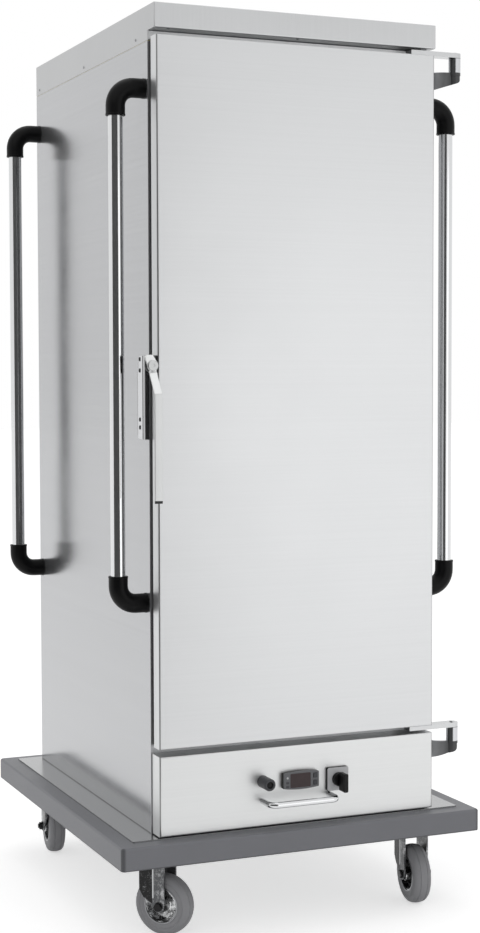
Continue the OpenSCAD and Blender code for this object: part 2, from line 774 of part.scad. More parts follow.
module door_outer_skin() {
    color(pale_steel) difference() {
        translate([0, 0, door_z0]) linear_extrude(height = door_z1 - door_z0) door_plan(0);
        block([door_x0 + sheet_t, door_x1 - sheet_t], [door_front + sheet_t, door_back + 1],
              [door_z0 + sheet_t, door_z1 - sheet_t]);
        for (k = [0, 1]) at_arm_screws(k) translate([0, 0, -sheet_t - 4]) cylinder(d = 6 + loose_gap, h = sheet_t + 5);
    }
}

module door_inner_skin() {
    color(pale_steel) block([door_x0 + sheet_t, door_x1 - sheet_t], [door_back - sheet_t, door_back],
                            [door_z0 + sheet_t, door_z1 - sheet_t]);
}

module door_insulation() {
    e = sheet_t + foam_gap;
    color([0.9, 0.85, 0.6]) block([door_x0 + e, door_x1 - e], [door_front + sheet_t, door_back - sheet_t],
                                  [door_z0 + e, door_z1 - e]);
}

module door_gasket() {
    edge = 3;
    color(black) difference() {
        block([door_x0 + edge, door_x1 - edge], [door_back, cab_front - face_gap],
              [door_z0 + edge, door_z1 - edge]);
        block([door_x0 + edge + gasket_w, door_x1 - edge - gasket_w], [door_back - 1, cab_front + 1],
              [door_z0 + edge + gasket_w, door_z1 - edge - gasket_w]);
    }
}

// ---------------------------------------------------------------- latch
keeper_t = 3;
keeper_up = 19;
keeper_len = 57;
tab_r = 14;
strip_t = 4;
strip_back = 29;
head_r = 11;
nose_r = 23.5;
pivot_x = latch_line - pivot_out;
pivot_z = deck_z + latch_z;
keeper_z1 = pivot_z + keeper_up;
keeper_y1 = cab_front + keeper_len;
tab_front = door_front;
keeper_screws = [for (f = [0.04, 0.175, 0.765, 0.86]) [keeper_y1 - keeper_len * 0.26, keeper_z1 - f * keeper_h]];

module latch_bracket() {
    z0 = keeper_z1 - keeper_h;
    color(steel) difference() {
        union() {
            // Plate on the side wall, raised strip along its front, and the wing past the door's edge
            block([-half_w - keeper_t, -half_w], [cab_front, keeper_y1], [z0, keeper_z1]);
            block([-half_w - keeper_t - strip_t, -half_w], [cab_front + keeper_t, keeper_y1 - strip_back],
                  [z0, keeper_z1]);
            block([latch_line - keeper_t, -half_w], [cab_front, cab_front + keeper_t], [pivot_z - tab_r, keeper_z1]);
            block([latch_line - keeper_t, latch_line], [tab_front, cab_front + keeper_t],
                  [pivot_z - tab_r, keeper_z1]);
            // Tab that carries the pivot, facing front
            translate([0, tab_front + keeper_t, 0]) rotate([90, 0, 0]) linear_extrude(height = keeper_t) difference() {
                union() {
                    translate([pivot_x, pivot_z]) circle(tab_r);
                    translate([pivot_x, pivot_z - tab_r]) square([pivot_out, 2 * tab_r]);
                    translate([pivot_x - tab_r, pivot_z]) square([pivot_out + tab_r, keeper_z1 - pivot_z]);
                }
                translate([latch_line, pivot_z - 2 * tab_r]) square([2 * tab_r, 4 * tab_r]);
            }
        }
        for (p = keeper_screws) translate([-half_w - 10, p[0], p[1]]) along_x(5 + loose_gap, 12);
        translate([pivot_x, tab_front - 1, pivot_z]) along_y(pivot_d, keeper_t + 2);
    }
}

module latch_bolt() {
    color(bright) translate([pivot_x, 0, pivot_z]) {
        translate([0, tab_front - face_gap - lever_t, 0]) along_y(pivot_d, lever_t + keeper_t + 7);
        translate([0, tab_front - 2 * face_gap - lever_t - 3, 0]) along_y(20, 3);
        translate([0, tab_front + keeper_t, 0]) rotate([-90, 0, 0]) cylinder(d = 12, h = 5, $fn = 6);
    }
}

module latch_lever() {
    y1 = tab_front - face_gap;
    y0 = y1 - lever_t;
    grip_y = y1 - crank_out;
    crank_top = pivot_z - head_r;
    crank_end = crank_top - crank_h;
    grip_end = crank_end - grip_len;
    color(bright) difference() {
        union() {
            // Cranked bar, drawn from the side
            translate([pivot_x - lever_w / 2, 0, 0]) rotate([90, 0, 90]) linear_extrude(height = lever_w)
                polygon([[y1, pivot_z], [y1, crank_top], [grip_y, crank_end], [grip_y, grip_end],
                         [grip_y - lever_t, grip_end], [grip_y - lever_t, crank_end], [y0, crank_top],
                         [y0, pivot_z]]);
            // Head with the nose that turns over the door's edge
            translate([pivot_x, y1, pivot_z]) rotate([90, 0, 0]) linear_extrude(height = lever_t) {
                circle(head_r);
                polygon([[-head_r, 0], [-nose_r * 0.7, nose_r * 0.7], [-nose_r * 0.5, nose_r * 0.86],
                         [0, nose_r * 0.86], [head_r * 0.85, head_r * 0.5], [0, 0]]);
            }
        }
        translate([pivot_x, y0 - 1, pivot_z]) along_y(pivot_d + 2 * run_fit, lever_t + 2);
    }
}

// ---------------------------------------------------------------- heating drawer
box_x = cavity_x - 13;
box_z0 = drawer_z0 + 5;
box_z1 = box_z0 + box_h;
box_y0 = cab_front - face_gap;
box_y1 = box_y0 + box_len;
rib_t = 3;
rib_w = 15;
rib_z = box_z1 - 30;
runner_in = rib_t + 2 * loose_gap;
pull_x = -13;
pull_up = 50.5;
pull_z = drawer_z0 + pull_up;
bezel_x = -6;
bezel_up = 87;
bezel_z = drawer_z0 + bezel_up;
switch_x = 76;
switch_up = 81;
switch_z = drawer_z0 + switch_up;
button_x = -84;
button_up = 89;
button_z = drawer_z0 + button_up;
body_depth = 34;
face_y = door_front;

module drawer_front() {
    color(pale_steel) difference() {
        translate([0, 0, drawer_z0]) linear_extrude(height = drawer_h) difference() {
            union() {
                translate([door_x0, face_y + door_edge_r]) square([door_w, box_y0 - face_y - door_edge_r]);
                translate([door_x0 + door_edge_r, face_y]) square([door_w - 2 * door_edge_r, door_edge_r + 1]);
                for (x = [door_x0 + door_edge_r, door_x1 - door_edge_r])
                    translate([x, face_y + door_edge_r]) circle(door_edge_r);
            }
        }
        block([door_x0 + sheet_t, door_x1 - sheet_t], [face_y + sheet_t, box_y0 + 1],
              [drawer_z0 + sheet_t, drawer_z1 - sheet_t]);
        block([bezel_x - bezel_w / 2 + 4, bezel_x + bezel_w / 2 - 4], [face_y - 1, face_y + 3],
              [bezel_z - bezel_h / 2 + 5, bezel_z + bezel_h / 2 - 5]);
        translate([switch_x, face_y - 1, switch_z]) along_y(22 + loose_gap, 4);
        translate([button_x, face_y - 1, button_z]) along_y(16 + loose_gap, 4);
        for (s = [-1, 1]) translate([pull_x + s * (pull_w - pull_d) / 2, face_y - 1, pull_z])
            along_y(5 + loose_gap, 4);
    }
}

module drawer_box() {
    color(steel) {
        difference() {
            block([-box_x, box_x], [box_y0, box_y1], [box_z0, box_z1]);
            block([-box_x + sheet_t, box_x - sheet_t], [box_y0 + sheet_t, box_y1 - sheet_t],
                  [box_z0 + sheet_t, box_z1 + 1]);
        }
        block([door_x0 + sheet_t, door_x1 - sheet_t], [box_y0 - sheet_t, box_y0],
              [drawer_z0 + sheet_t, drawer_z1 - sheet_t]);
        for (s = [0, 1]) mirror([s, 0, 0])
            block([box_x, box_x + rib_w], [box_y0 + 20, box_y1], [rib_z, rib_z + rib_t]);
    }
}

module drawer_runners() {
    lip = 1.5;
    x0 = box_x + 3;
    x1 = box_x + rib_w + 1;
    y = [cab_front + frame_t + 2, box_y1];
    color(zinc) for (s = [0, 1]) mirror([s, 0, 0]) {
        difference() {
            block([x0, x1 + lip], y, [rib_z - loose_gap - lip, rib_z + rib_t + loose_gap + lip]);
            block([x0 - 1, x1], [y[0] - 1, y[1] + 1], [rib_z - loose_gap, rib_z + rib_t + loose_gap]);
        }
        for (f = [0.15, 0.5, 0.85])
            block([x1 + lip, wall_in], [y[0] + f * (y[1] - y[0]), y[0] + f * (y[1] - y[0]) + 30],
                  [rib_z - loose_gap - lip, rib_z + rib_t + loose_gap + lip]);
    }
}

module drawer_pull() {
    r = pull_d / 2;
    bend = 14;
    half = pull_w / 2 - r;
    run = pull_reach - r;
    color(bright) translate([pull_x, face_y, pull_z]) {
        translate([-half + bend, -run, 0]) along_x(pull_d, 2 * (half - bend));
        for (s = [-1, 1]) {
            translate([s * half, -run + bend, 0]) along_y(pull_d, run - bend);
            translate([s * (half - bend), -run + bend, 0]) rotate([0, 0, s > 0 ? -90 : 180])
                rotate_extrude(angle = 90) translate([bend, 0]) circle(r);
            translate([s * half, 0, 0]) along_y(5, 8);
        }
    }
}

heat_up = 42;
heat_front = 300;
heat_rear = 90;
foot_w = 10;
heat_z = box_z0 + heat_up;
heat_y0 = box_y0 + heat_front;
heat_y1 = box_y1 - heat_rear;
heat_pitch = 60;
heat_runs = 6;

module heating_element() {
    left = -heat_pitch * (heat_runs - 1) / 2;
    color([0.35, 0.33, 0.32]) {
        for (k = [0:heat_runs - 1]) translate([left + k * heat_pitch, heat_y0, heat_z])
            along_y(rod_d, heat_y1 - heat_y0);
        for (k = [0:heat_runs - 2])
            translate([left + (k + 0.5) * heat_pitch, k % 2 == 0 ? heat_y1 : heat_y0, heat_z])
                rotate([0, 0, k % 2 == 0 ? 0 : 180]) rotate_extrude(angle = 180)
                    translate([heat_pitch / 2, 0]) circle(d = rod_d);
        // Feet that stand on the drawer's floor and hold the rods
        for (y = [heat_y0 + 2.5 * foot_w, heat_y1 - 3.5 * foot_w])
            block([left - 1.5 * rod_d, -left + 1.5 * rod_d], [y, y + foot_w], [box_z0 + sheet_t, heat_z]);
    }
}

fan_front = 150;
motor_h = 50;
shaft_d = 8;
blade_gap = 6;
blade_h = 26;
blade_len = 30;
blade_t = 2;
fan_hub_d = 30;
shaft_in = 28;
bore_in = shaft_in + 2;
shaft_up = 4;
fan_y = box_y0 + fan_front;
motor_top = box_z0 + motor_h;
blade_z = motor_top + blade_gap;

module fan_motor() {
    color([0.3, 0.3, 0.32]) translate([0, fan_y, 0]) difference() {
        union() {
            translate([0, 0, box_z0 + sheet_t]) cylinder(d = motor_d, h = motor_top - box_z0 - sheet_t - 8);
            translate([0, 0, motor_top - 12]) cylinder(d = motor_d * 0.45, h = 12);
            translate([-motor_d * 0.65, -8, box_z0 + sheet_t]) cube([motor_d * 1.3, 16, 4]);
        }
        translate([0, 0, motor_top - bore_in]) cylinder(d = shaft_d + 2 * run_fit, h = bore_in + 1);
    }
}

module fan_impeller() {
    blades = 12;
    color(steel) translate([0, fan_y, 0]) {
        translate([0, 0, motor_top - shaft_in]) cylinder(d = shaft_d, h = shaft_in + blade_z - motor_top + shaft_up);
        translate([0, 0, blade_z]) cylinder(d = fan_d, h = blade_t);
        translate([0, 0, blade_z]) cylinder(d = fan_hub_d, h = 2 * blade_gap);
        for (k = [0:blades - 1]) rotate([0, 0, k * 360 / blades])
            translate([fan_d / 2 - blade_len - blade_t, -blade_t / 2, blade_z + blade_t / 2])
                cube([blade_len, blade_t, blade_h - blade_t / 2]);
    }
}

// ---------------------------------------------------------------- controls
key_x = bezel_x + bezel_w / 2 - 8;
key_z = [bezel_z + 7, bezel_z - 7];
key_w = 8;
key_h = 9;
key_proud = 1.5;

// The bezel's front outline: straight sides, gently bowed top and bottom
module bezel_outline() {
    bow = 3;
    chord = bezel_w / 2;
    r = (chord * chord + bow * bow) / (2 * bow);
    intersection() {
        translate([0, bezel_h / 2 - r]) circle(r, $fn = 180);
        translate([0, r - bezel_h / 2]) circle(r, $fn = 180);
        round_rect(bezel_w, bezel_h, 5);
    }
}

module controller() {
    color([0.37, 0.38, 0.39]) difference() {
        union() {
            translate([bezel_x, face_y, bezel_z]) rotate([90, 0, 0]) linear_extrude(height = bezel_t)
                bezel_outline();
            block([bezel_x - bezel_w / 2 + 5, bezel_x + bezel_w / 2 - 5], [face_y - 1, face_y + body_depth],
                  [bezel_z - bezel_h / 2 + 6, bezel_z + bezel_h / 2 - 6]);
        }
        for (z = key_z) block([key_x - key_w / 2 - face_gap, key_x + key_w / 2 + face_gap],
                              [face_y - bezel_t - 1, face_y - bezel_t + 5],
                              [z - key_h / 2 - face_gap, z + key_h / 2 + face_gap]);
    }
}

module key(z) {
    color([0.25, 0.26, 0.27])
        block([key_x - key_w / 2, key_x + key_w / 2],
              [face_y - bezel_t - key_proud, face_y - bezel_t + 5 - key_travel - face_gap],
              [z - key_h / 2, z + key_h / 2]);
}

module switch_plate() {
    color([0.72, 0.72, 0.73]) difference() {
        union() {
            translate([switch_x, face_y, switch_z]) rotate([90, 0, 0]) linear_extrude(height = switch_t)
                round_rect(switch_side, switch_side, 4);
            translate([switch_x, face_y - 1, switch_z]) along_y(22, body_depth);
        }
        translate([switch_x, face_y - switch_t - 1, switch_z]) along_y(8 + 2 * run_fit, 16);
    }
}

module switch_knob() {
    bar_w = 12;
    bar_up = 17;
    bar_down = 21;
    y0 = face_y - switch_t - face_gap;
    color(black) translate([switch_x, y0, switch_z]) {
        translate([0, -13, 0]) along_y(31, 13);
        translate([0, -36, 0]) rotate([-90, 0, 0]) linear_extrude(height = 24) {
            translate([-bar_w / 2, -bar_up]) square([bar_w, bar_up + bar_down - bar_w / 2]);
            translate([0, bar_down - bar_w / 2]) circle(d = bar_w);
        }
        translate([0, -1, 0]) along_y(8, 14);
    }
}

module button_collar() {
    color([0.25, 0.25, 0.26]) difference() {
        union() {
            translate([button_x, face_y - collar_len, button_z]) along_y(collar_d, collar_len);
            translate([button_x, face_y - 1, button_z]) along_y(16, body_depth - 8);
        }
        translate([button_x, face_y - collar_len - 1, button_z]) along_y(button_d + 2 * run_fit, 18);
    }
}

module push_button() {
    recess = 1.5;
    color([0.07, 0.07, 0.08])
        translate([button_x, face_y - collar_len + recess, button_z])
            along_y(button_d, 17 - recess - button_travel - face_gap);
}

module power_inlet() {
    color(black) {
        block([inlet_x - inlet_w / 2, inlet_x + inlet_w / 2], [cab_back, cab_back + 3],
              [inlet_z - inlet_h / 2, inlet_z + inlet_h / 2]);
        difference() {
            block([inlet_x - inlet_w / 2 + 7, inlet_x + inlet_w / 2 - 7], [cab_back - 28, cab_back + 7],
                  [inlet_z - inlet_h / 2 + 5, inlet_z + inlet_h / 2 - 5]);
            block([inlet_x - inlet_w / 2 + 10, inlet_x + inlet_w / 2 - 10], [cab_back - 12, cab_back + 8],
                  [inlet_z - inlet_h / 2 + 8, inlet_z + inlet_h / 2 - 8]);
        }
    }
}

bumper();
bumper_screws();
chassis_frame();
deck_sheet();
caster_plates();
caster_bolts();
caster_fork(0);  // caster_fork_front_left
caster_fork(1);  // caster_fork_front_right
caster_fork(2);  // caster_fork_rear_left
caster_fork(3);  // caster_fork_rear_right
caster_axle(0);  // caster_axle_front_left
caster_axle(1);  // caster_axle_front_right
caster_axle(2);  // caster_axle_rear_left
caster_axle(3);  // caster_axle_rear_right
wheel_rim(0);  // wheel_rim_front_left
wheel_rim(1);  // wheel_rim_front_right
wheel_rim(2);  // wheel_rim_rear_left
wheel_rim(3);  // wheel_rim_rear_right
tyre(0);  // tyre_front_left
tyre(1);  // tyre_front_right
tyre(2);  // tyre_rear_left
tyre(3);  // tyre_rear_right
outer_shell();
front_frame();
inner_liner();
wall_insulation();
cavity_grille();
top_cap();
cap_rivets();
tray_rack_left();
tray_rack_right();
handle_tubes();
handle_elbows();
body_screws();
hinge_brackets();
hinge_pins();
latch_bracket();
latch_bolt();
latch_lever();
drawer_runners();
power_inlet();
door_outer_skin();
door_inner_skin();
door_insulation();
door_gasket();
hinge_arms();
door_screws();
drawer_front();
drawer_box();
drawer_pull();
heating_element();
fan_motor();
fan_impeller();
controller();
key(key_z[0]);  // key_up
key(key_z[1]);  // key_down
switch_plate();
switch_knob();
button_collar();
push_button();
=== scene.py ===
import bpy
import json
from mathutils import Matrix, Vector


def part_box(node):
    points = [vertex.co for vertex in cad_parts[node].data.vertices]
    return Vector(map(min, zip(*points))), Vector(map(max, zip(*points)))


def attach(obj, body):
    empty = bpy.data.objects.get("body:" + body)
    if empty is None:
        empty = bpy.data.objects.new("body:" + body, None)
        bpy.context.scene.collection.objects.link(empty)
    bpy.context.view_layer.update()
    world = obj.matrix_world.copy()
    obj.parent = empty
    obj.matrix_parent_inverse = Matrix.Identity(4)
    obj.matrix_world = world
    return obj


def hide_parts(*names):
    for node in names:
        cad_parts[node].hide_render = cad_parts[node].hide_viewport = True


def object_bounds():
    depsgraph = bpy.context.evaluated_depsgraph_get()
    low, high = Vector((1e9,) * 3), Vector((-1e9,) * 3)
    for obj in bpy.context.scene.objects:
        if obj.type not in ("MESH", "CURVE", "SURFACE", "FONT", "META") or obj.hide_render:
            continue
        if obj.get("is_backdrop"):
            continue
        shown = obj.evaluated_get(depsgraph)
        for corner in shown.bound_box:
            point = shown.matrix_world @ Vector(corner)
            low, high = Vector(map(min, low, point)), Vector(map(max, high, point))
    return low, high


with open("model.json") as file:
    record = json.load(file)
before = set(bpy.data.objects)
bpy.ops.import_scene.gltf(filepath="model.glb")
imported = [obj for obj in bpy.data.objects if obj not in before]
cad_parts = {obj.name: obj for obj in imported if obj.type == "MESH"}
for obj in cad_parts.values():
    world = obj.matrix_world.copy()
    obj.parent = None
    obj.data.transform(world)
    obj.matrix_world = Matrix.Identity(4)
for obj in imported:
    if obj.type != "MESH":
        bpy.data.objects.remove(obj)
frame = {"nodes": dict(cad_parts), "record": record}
CAD_BOX = [list(corner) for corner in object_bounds()]

import json
import math

import bmesh
import bpy
from bpy.props import FloatProperty, FloatVectorProperty, PointerProperty
from bpy.types import Operator, Panel, PropertyGroup
from mathutils import Matrix, Vector

bl_info = {
    "name": "Enclosed Meal Tray Cart",
    "version": (1, 0, 0),
    "blender": (4, 5, 0),
    "location": "View3D > Sidebar > Tray Cart",
    "description": "Dresses the packed frame of a heated meal tray cart",
    "category": "Object",
}

MM = 0.001
SIDES = (-1, 1)
CORNERS = ("front_left", "front_right", "rear_left", "rear_right")

# Sizes in millimetres
TUBE_R = 14.25  # tube of a push handle
ELBOW_R = 18.5  # elbow of a push handle
SHEET = 1.2  # walls of the cabinet
HINGE_GAP = 14.0  # between the door and the cap's fascia
WHEEL_R = 60.0
TRAIL = 42.0  # from a caster's swivel axis back to its axle
LEG_X = 26.5  # outer faces of a fork's legs, from its middle


# ---------------------------------------------------------------- places, in millimetres
def span(node):
    """A CAD node's lowest and highest corners in millimetres."""
    low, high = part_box(node)
    return [c / MM for c in low], [c / MM for c in high]


def middle(low, high):
    """The middle of a box along each axis."""
    return [(a + b) / 2 for a, b in zip(low, high)]


def wall_x():
    """How far the side walls' outer faces are from the middle."""
    return round(span("outer_shell")[1][0], 3)


def foot_of_fascia():
    """The height of the fascia's lower edge, which is a hinge gap above the door."""
    return span("door_outer_skin")[1][2] + HINGE_GAP


def joint(name):
    """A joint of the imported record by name."""
    for entry in frame["record"]["behaviour"]["joints"]:
        if entry["name"] == name:
            return entry
    raise ValueError("no joint called " + name)


# An outline drawn in X and Y, with its depth along Z, stood up to face the front or the side
FACING_FRONT = Matrix.Rotation(math.radians(90), 4, "X")
FROM_THE_SIDE = Matrix(((0, 0, 1, 0), (1, 0, 0, 0), (0, 1, 0, 0), (0, 0, 0, 1)))


def moved(x=0.0, y=0.0, z=0.0):
    return Matrix.Translation((x, y, z))


def turned(degrees, axis="Z"):
    return Matrix.Rotation(math.radians(degrees), 4, axis)


def in_caster(corner):
    """The matrix from a caster's own frame, with its swivel axis at the origin, to the cart."""
    swivel = joint("swivel_" + corner)["pos_m"]
    roll = joint("roll_" + corner)["axis"]
    return moved(swivel[0] / MM, swivel[1] / MM) @ turned(math.degrees(math.atan2(roll[1], roll[0])))


# ---------------------------------------------------------------- shapes
def drop(edge):
    """How far an edge's two ends are apart in height."""
    return abs(edge.verts[0].co.z - edge.verts[1].co.z)


def soften(bm, width, segments=2, angle=30, where=None):
    """Rounds the edges that are sharper than an angle, or those of them that a test picks."""
    limit = math.radians(angle)
    edges = [e for e in bm.edges if len(e.link_faces) == 2 and e.calc_face_angle(0.0) > limit
             and (where is None or where(e))]
    if width and edges:
        bmesh.ops.bevel(bm, geom=edges, offset=width, offset_type="OFFSET", segments=segments, profile=0.5,
                        affect="EDGES", material=-1, clamp_overlap=True)
    return bm


def block(x, y, z, edge=0.0, segments=2, where=None):
    """A box from its limits along each axis, with rounded edges."""
    bm = bmesh.new()
    bmesh.ops.create_cube(bm, size=1.0)
    bmesh.ops.scale(bm, vec=(x[1] - x[0], y[1] - y[0], z[1] - z[0]), verts=bm.verts)
    bmesh.ops.translate(bm, vec=((x[0] + x[1]) / 2, (y[0] + y[1]) / 2, (z[0] + z[1]) / 2), verts=bm.verts)
    return soften(bm, edge, segments, where=where)


def cut_out(points, depth, edge=0.0, segments=2, where=None):
    """A flat outline given by a few points, thickened along Z, with rounded edges."""
    bm = bmesh.new()
    face = bm.faces.new([bm.verts.new((p[0], p[1], 0.0)) for p in points])
    grown = bmesh.ops.extrude_face_region(bm, geom=[face])["geom"]
    bmesh.ops.translate(bm, vec=(0, 0, depth), verts=[g for g in grown if isinstance(g, bmesh.types.BMVert)])
    bmesh.ops.recalc_face_normals(bm, faces=bm.faces)
    return soften(bm, edge, segments, where=where)


def round_plate(width, height, radius, depth, edge=0.0, segments=2):
    """A rectangular plate about the origin with round corners, thickened along Z."""
    bm = block((-width / 2, width / 2), (-height / 2, height / 2), (0, depth))
    soften(bm, radius, 6, where=lambda e: drop(e) > depth / 2)
    return soften(bm, edge, segments, angle=60)


def frame_ring(width, height, bar, depth, edge=0.0, segments=2):
    """A rectangular frame about the origin, thickened along Z, with rounded long edges."""
    bm = bmesh.new()
    corners = ((-1, -1), (1, -1), (1, 1), (-1, 1))
    face = bm.faces.new([bm.verts.new((sx * width / 2, sy * height / 2, 0.0)) for sx, sy in corners])
    bm.normal_update()
    bmesh.ops.inset_individual(bm, faces=[face], thickness=bar, use_even_offset=True)
    bmesh.ops.delete(bm, geom=[face], context="FACES_ONLY")
    grown = bmesh.ops.extrude_face_region(bm, geom=list(bm.faces))["geom"]
    bmesh.ops.translate(bm, vec=(0, 0, depth), verts=[g for g in grown if isinstance(g, bmesh.types.BMVert)])
    bmesh.ops.recalc_face_normals(bm, faces=bm.faces)
    return soften(bm, edge, segments, where=lambda e: drop(e) < 0.01)


def lathe(profile, steps=48):
    """A profile of (radius, height) points turned about Z; a closed one comes back to its first point."""
    bm = bmesh.new()
    points = [bm.verts.new((r, 0.0, h)) for r, h in profile]
    edges = [bm.edges.new(pair) for pair in zip(points, points[1:])]
    if profile[0][0] > 0.001 or profile[-1][0] > 0.001:
        edges.append(bm.edges.new((points[-1], points[0])))
    bmesh.ops.spin(bm, geom=points + edges, cent=(0, 0, 0), axis=(0, 0, 1), dvec=(0, 0, 0),
                   angle=2 * math.pi, steps=steps, use_merge=True)
    bmesh.ops.remove_doubles(bm, verts=bm.verts, dist=0.001)
    bmesh.ops.recalc_face_normals(bm, faces=bm.faces)
    return bm


def disc(diameter, height, edge=0.0, steps=40):
    """A short round bar along Z with a rounded rim at its far end."""
    r = diameter / 2
    rim = [(r - edge * (1 - math.cos(math.radians(a))), height - edge * (1 - math.sin(math.radians(a))))
           for a in (0, 30, 60, 90)] if edge else [(r, height)]
    return lathe([(0, 0), (r, 0)] + rim + [(0, height)], steps)


def hexagon(width, height, edge=0.6):
    """A hexagonal head or nut along Z, across its corners."""
    bm = bmesh.new()
    bmesh.ops.create_cone(bm, cap_ends=True, segments=6, radius1=width / 2, radius2=width / 2, depth=height)
    bmesh.ops.translate(bm, vec=(0, 0, height / 2), verts=bm.verts)
    return soften(bm, edge, 1)


def screw_head(diameter, height, socket=0.42):
    """A domed screw head along Z with a hexagonal recess."""
    r = diameter / 2
    floor = height * 0.35
    dome = [(r * math.cos(math.radians(a)), floor + (height - floor) * math.sin(math.radians(a)))
            for a in (0, 25, 45, 62)]
    return lathe([(0, 0), (r, 0)] + dome + [(r * socket, height), (r * socket, floor), (0, floor)], 24)


def copy_of(node):
    """A merged copy of a CAD node's mesh in millimetres, for a piece that keeps its form."""
    bm = bmesh.new()
    bm.from_mesh(frame["nodes"][node].data)
    bmesh.ops.scale(bm, vec=(1 / MM,) * 3, verts=bm.verts)
    bmesh.ops.remove_doubles(bm, verts=bm.verts, dist=0.01)
    bmesh.ops.dissolve_limit(bm, angle_limit=math.radians(0.6), verts=bm.verts, edges=bm.edges)
    return bm


class Piece:
    """Gathers a piece's shapes in millimetres and hands them over as one object in metres."""

    def __init__(self, name):
        self.name = name
        self.bm = bmesh.new()

    def add(self, shape, *places):
        matrix = Matrix.Identity(4)
        for place in places:
            matrix = matrix @ place
        bmesh.ops.transform(shape, matrix=matrix, verts=shape.verts)
        mesh = bpy.data.meshes.new("shape")
        shape.to_mesh(mesh)
        shape.free()
        self.bm.from_mesh(mesh)
        bpy.data.meshes.remove(mesh)
        return self

    def at_front(self, shape, x, y, z):
        """Adds a shape that was drawn along Z, turned to face the front."""
        return self.add(shape, moved(x, y, z), FACING_FRONT)

    def done(self, finish, body, slot, replaces=(), smooth=38):
        """Makes the object with a finish by name, hangs it under its body's empty and hides the CAD nodes it
        replaces.
        """
        bmesh.ops.remove_doubles(self.bm, verts=self.bm.verts, dist=0.002)
        bmesh.ops.recalc_face_normals(self.bm, faces=self.bm.faces)
        bmesh.ops.scale(self.bm, vec=(MM,) * 3, verts=self.bm.verts)
        mesh = bpy.data.meshes.new(self.name)
        self.bm.to_mesh(mesh)
        self.bm.free()
        mesh.shade_smooth()
        mesh.set_sharp_from_angle(angle=math.radians(smooth))
        mesh.materials.append(finishes[finish])
        obj = bpy.data.objects.new(self.name, mesh)
        bpy.context.scene.collection.objects.link(obj)
        obj.modifiers.new("Even shading", "WEIGHTED_NORMAL").keep_sharp = True
        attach(obj, body)
        if replaces:
            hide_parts(*replaces)


def paint(finish, *nodes):
    """Gives CAD nodes a finish by name."""
    for node in nodes:
        data = frame["nodes"][node].data
        data.materials.clear()
        data.materials.append(finishes[finish])


def rounded_node(name, node, finish, body, slot, edge, segments=2, angle=30):
    """Makes a piece with a CAD node's own form and rounded edges, in the node's place."""
    shape = soften(copy_of(node), edge, segments, angle)
    Piece(name).add(shape).done(finish, body, slot, [node])


def folded_pan(name, node, lap, finish, body, edge):
    """Makes a front panel with rounded front edges in a CAD node's place, less a lap at its back."""
    low, high = span(node)
    pan = block((low[0], high[0]), (low[1], high[1] - lap), (low[2], high[2]))
    soften(pan, edge, 4, where=lambda e: all(v.co.y < low[1] + 1 for v in e.verts))
    Piece(name).add(pan).done(finish, body, "brushed_sheet", [node])


# ---------------------------------------------------------------- finishes
finishes = {}


class Val:
    """A number that changes over a surface; sums and products on it add Math nodes."""

    def __init__(self, nodes, socket):
        self.nodes = nodes
        self.socket = socket

    def _math(self, operation, *operands):
        return self.nodes.value("ShaderNodeMath", {"operation": operation}, dict(enumerate(operands)))

    def __add__(self, other):
        return self._math("ADD", self, other)

    def __sub__(self, other):
        return self._math("SUBTRACT", self, other)

    def __rsub__(self, other):
        return self._math("SUBTRACT", other, self)

    def __mul__(self, other):
        return self._math("MULTIPLY", self, other)

    __radd__ = __add__
    __rmul__ = __mul__

    def distance(self):
        return self._math("ABSOLUTE", self)

    def lowest(self, other):
        return self._math("MINIMUM", self, other)

    def highest(self, other):
        return self._math("MAXIMUM", self, other)

    def rise(self, start, end):
        """0 before start, 1 after end, smooth between them."""
        return self.nodes.value("ShaderNodeMapRange", {"interpolation_type": "SMOOTHSTEP"},
                                {"Value": self, "From Min": start, "From Max": end})


class Nodes:
    """The node tree of a material or world, emptied, with short ways to add nodes."""

    def __init__(self, owner):
        owner.use_nodes = True
        self.tree = owner.node_tree
        self.tree.nodes.clear()

    def node(self, kind, settings, inputs):
        """Any node: its type, its settings, then its sockets' values or links."""
        node = self.tree.nodes.new(kind)
        for key, value in settings.items():
            setattr(node, key, value)
        for key, value in inputs.items():
            self.plug(node.inputs[key], value)
        return node

    def plug(self, socket, value):
        if isinstance(value, Val):
            value = value.socket
        if isinstance(value, bpy.types.NodeSocket):
            self.tree.links.new(value, socket)
        elif hasattr(socket.default_value, "__len__") and len(socket.default_value) == 4 and len(value) == 3:
            socket.default_value = (*value, 1.0)
        else:
            socket.default_value = value

    def value(self, kind, settings, inputs):
        return Val(self, self.node(kind, settings, inputs).outputs[0])

    def seen_directly(self):
        """1 for rays from the camera, a mirror or glass, and 0 for all others."""
        rays = self.node("ShaderNodeLightPath", {}, {}).outputs
        camera, mirror, glass = (Val(self, rays["Is %s Ray" % kind])
                                 for kind in ("Camera", "Glossy", "Transmission"))
        return camera.highest(mirror).highest(glass)


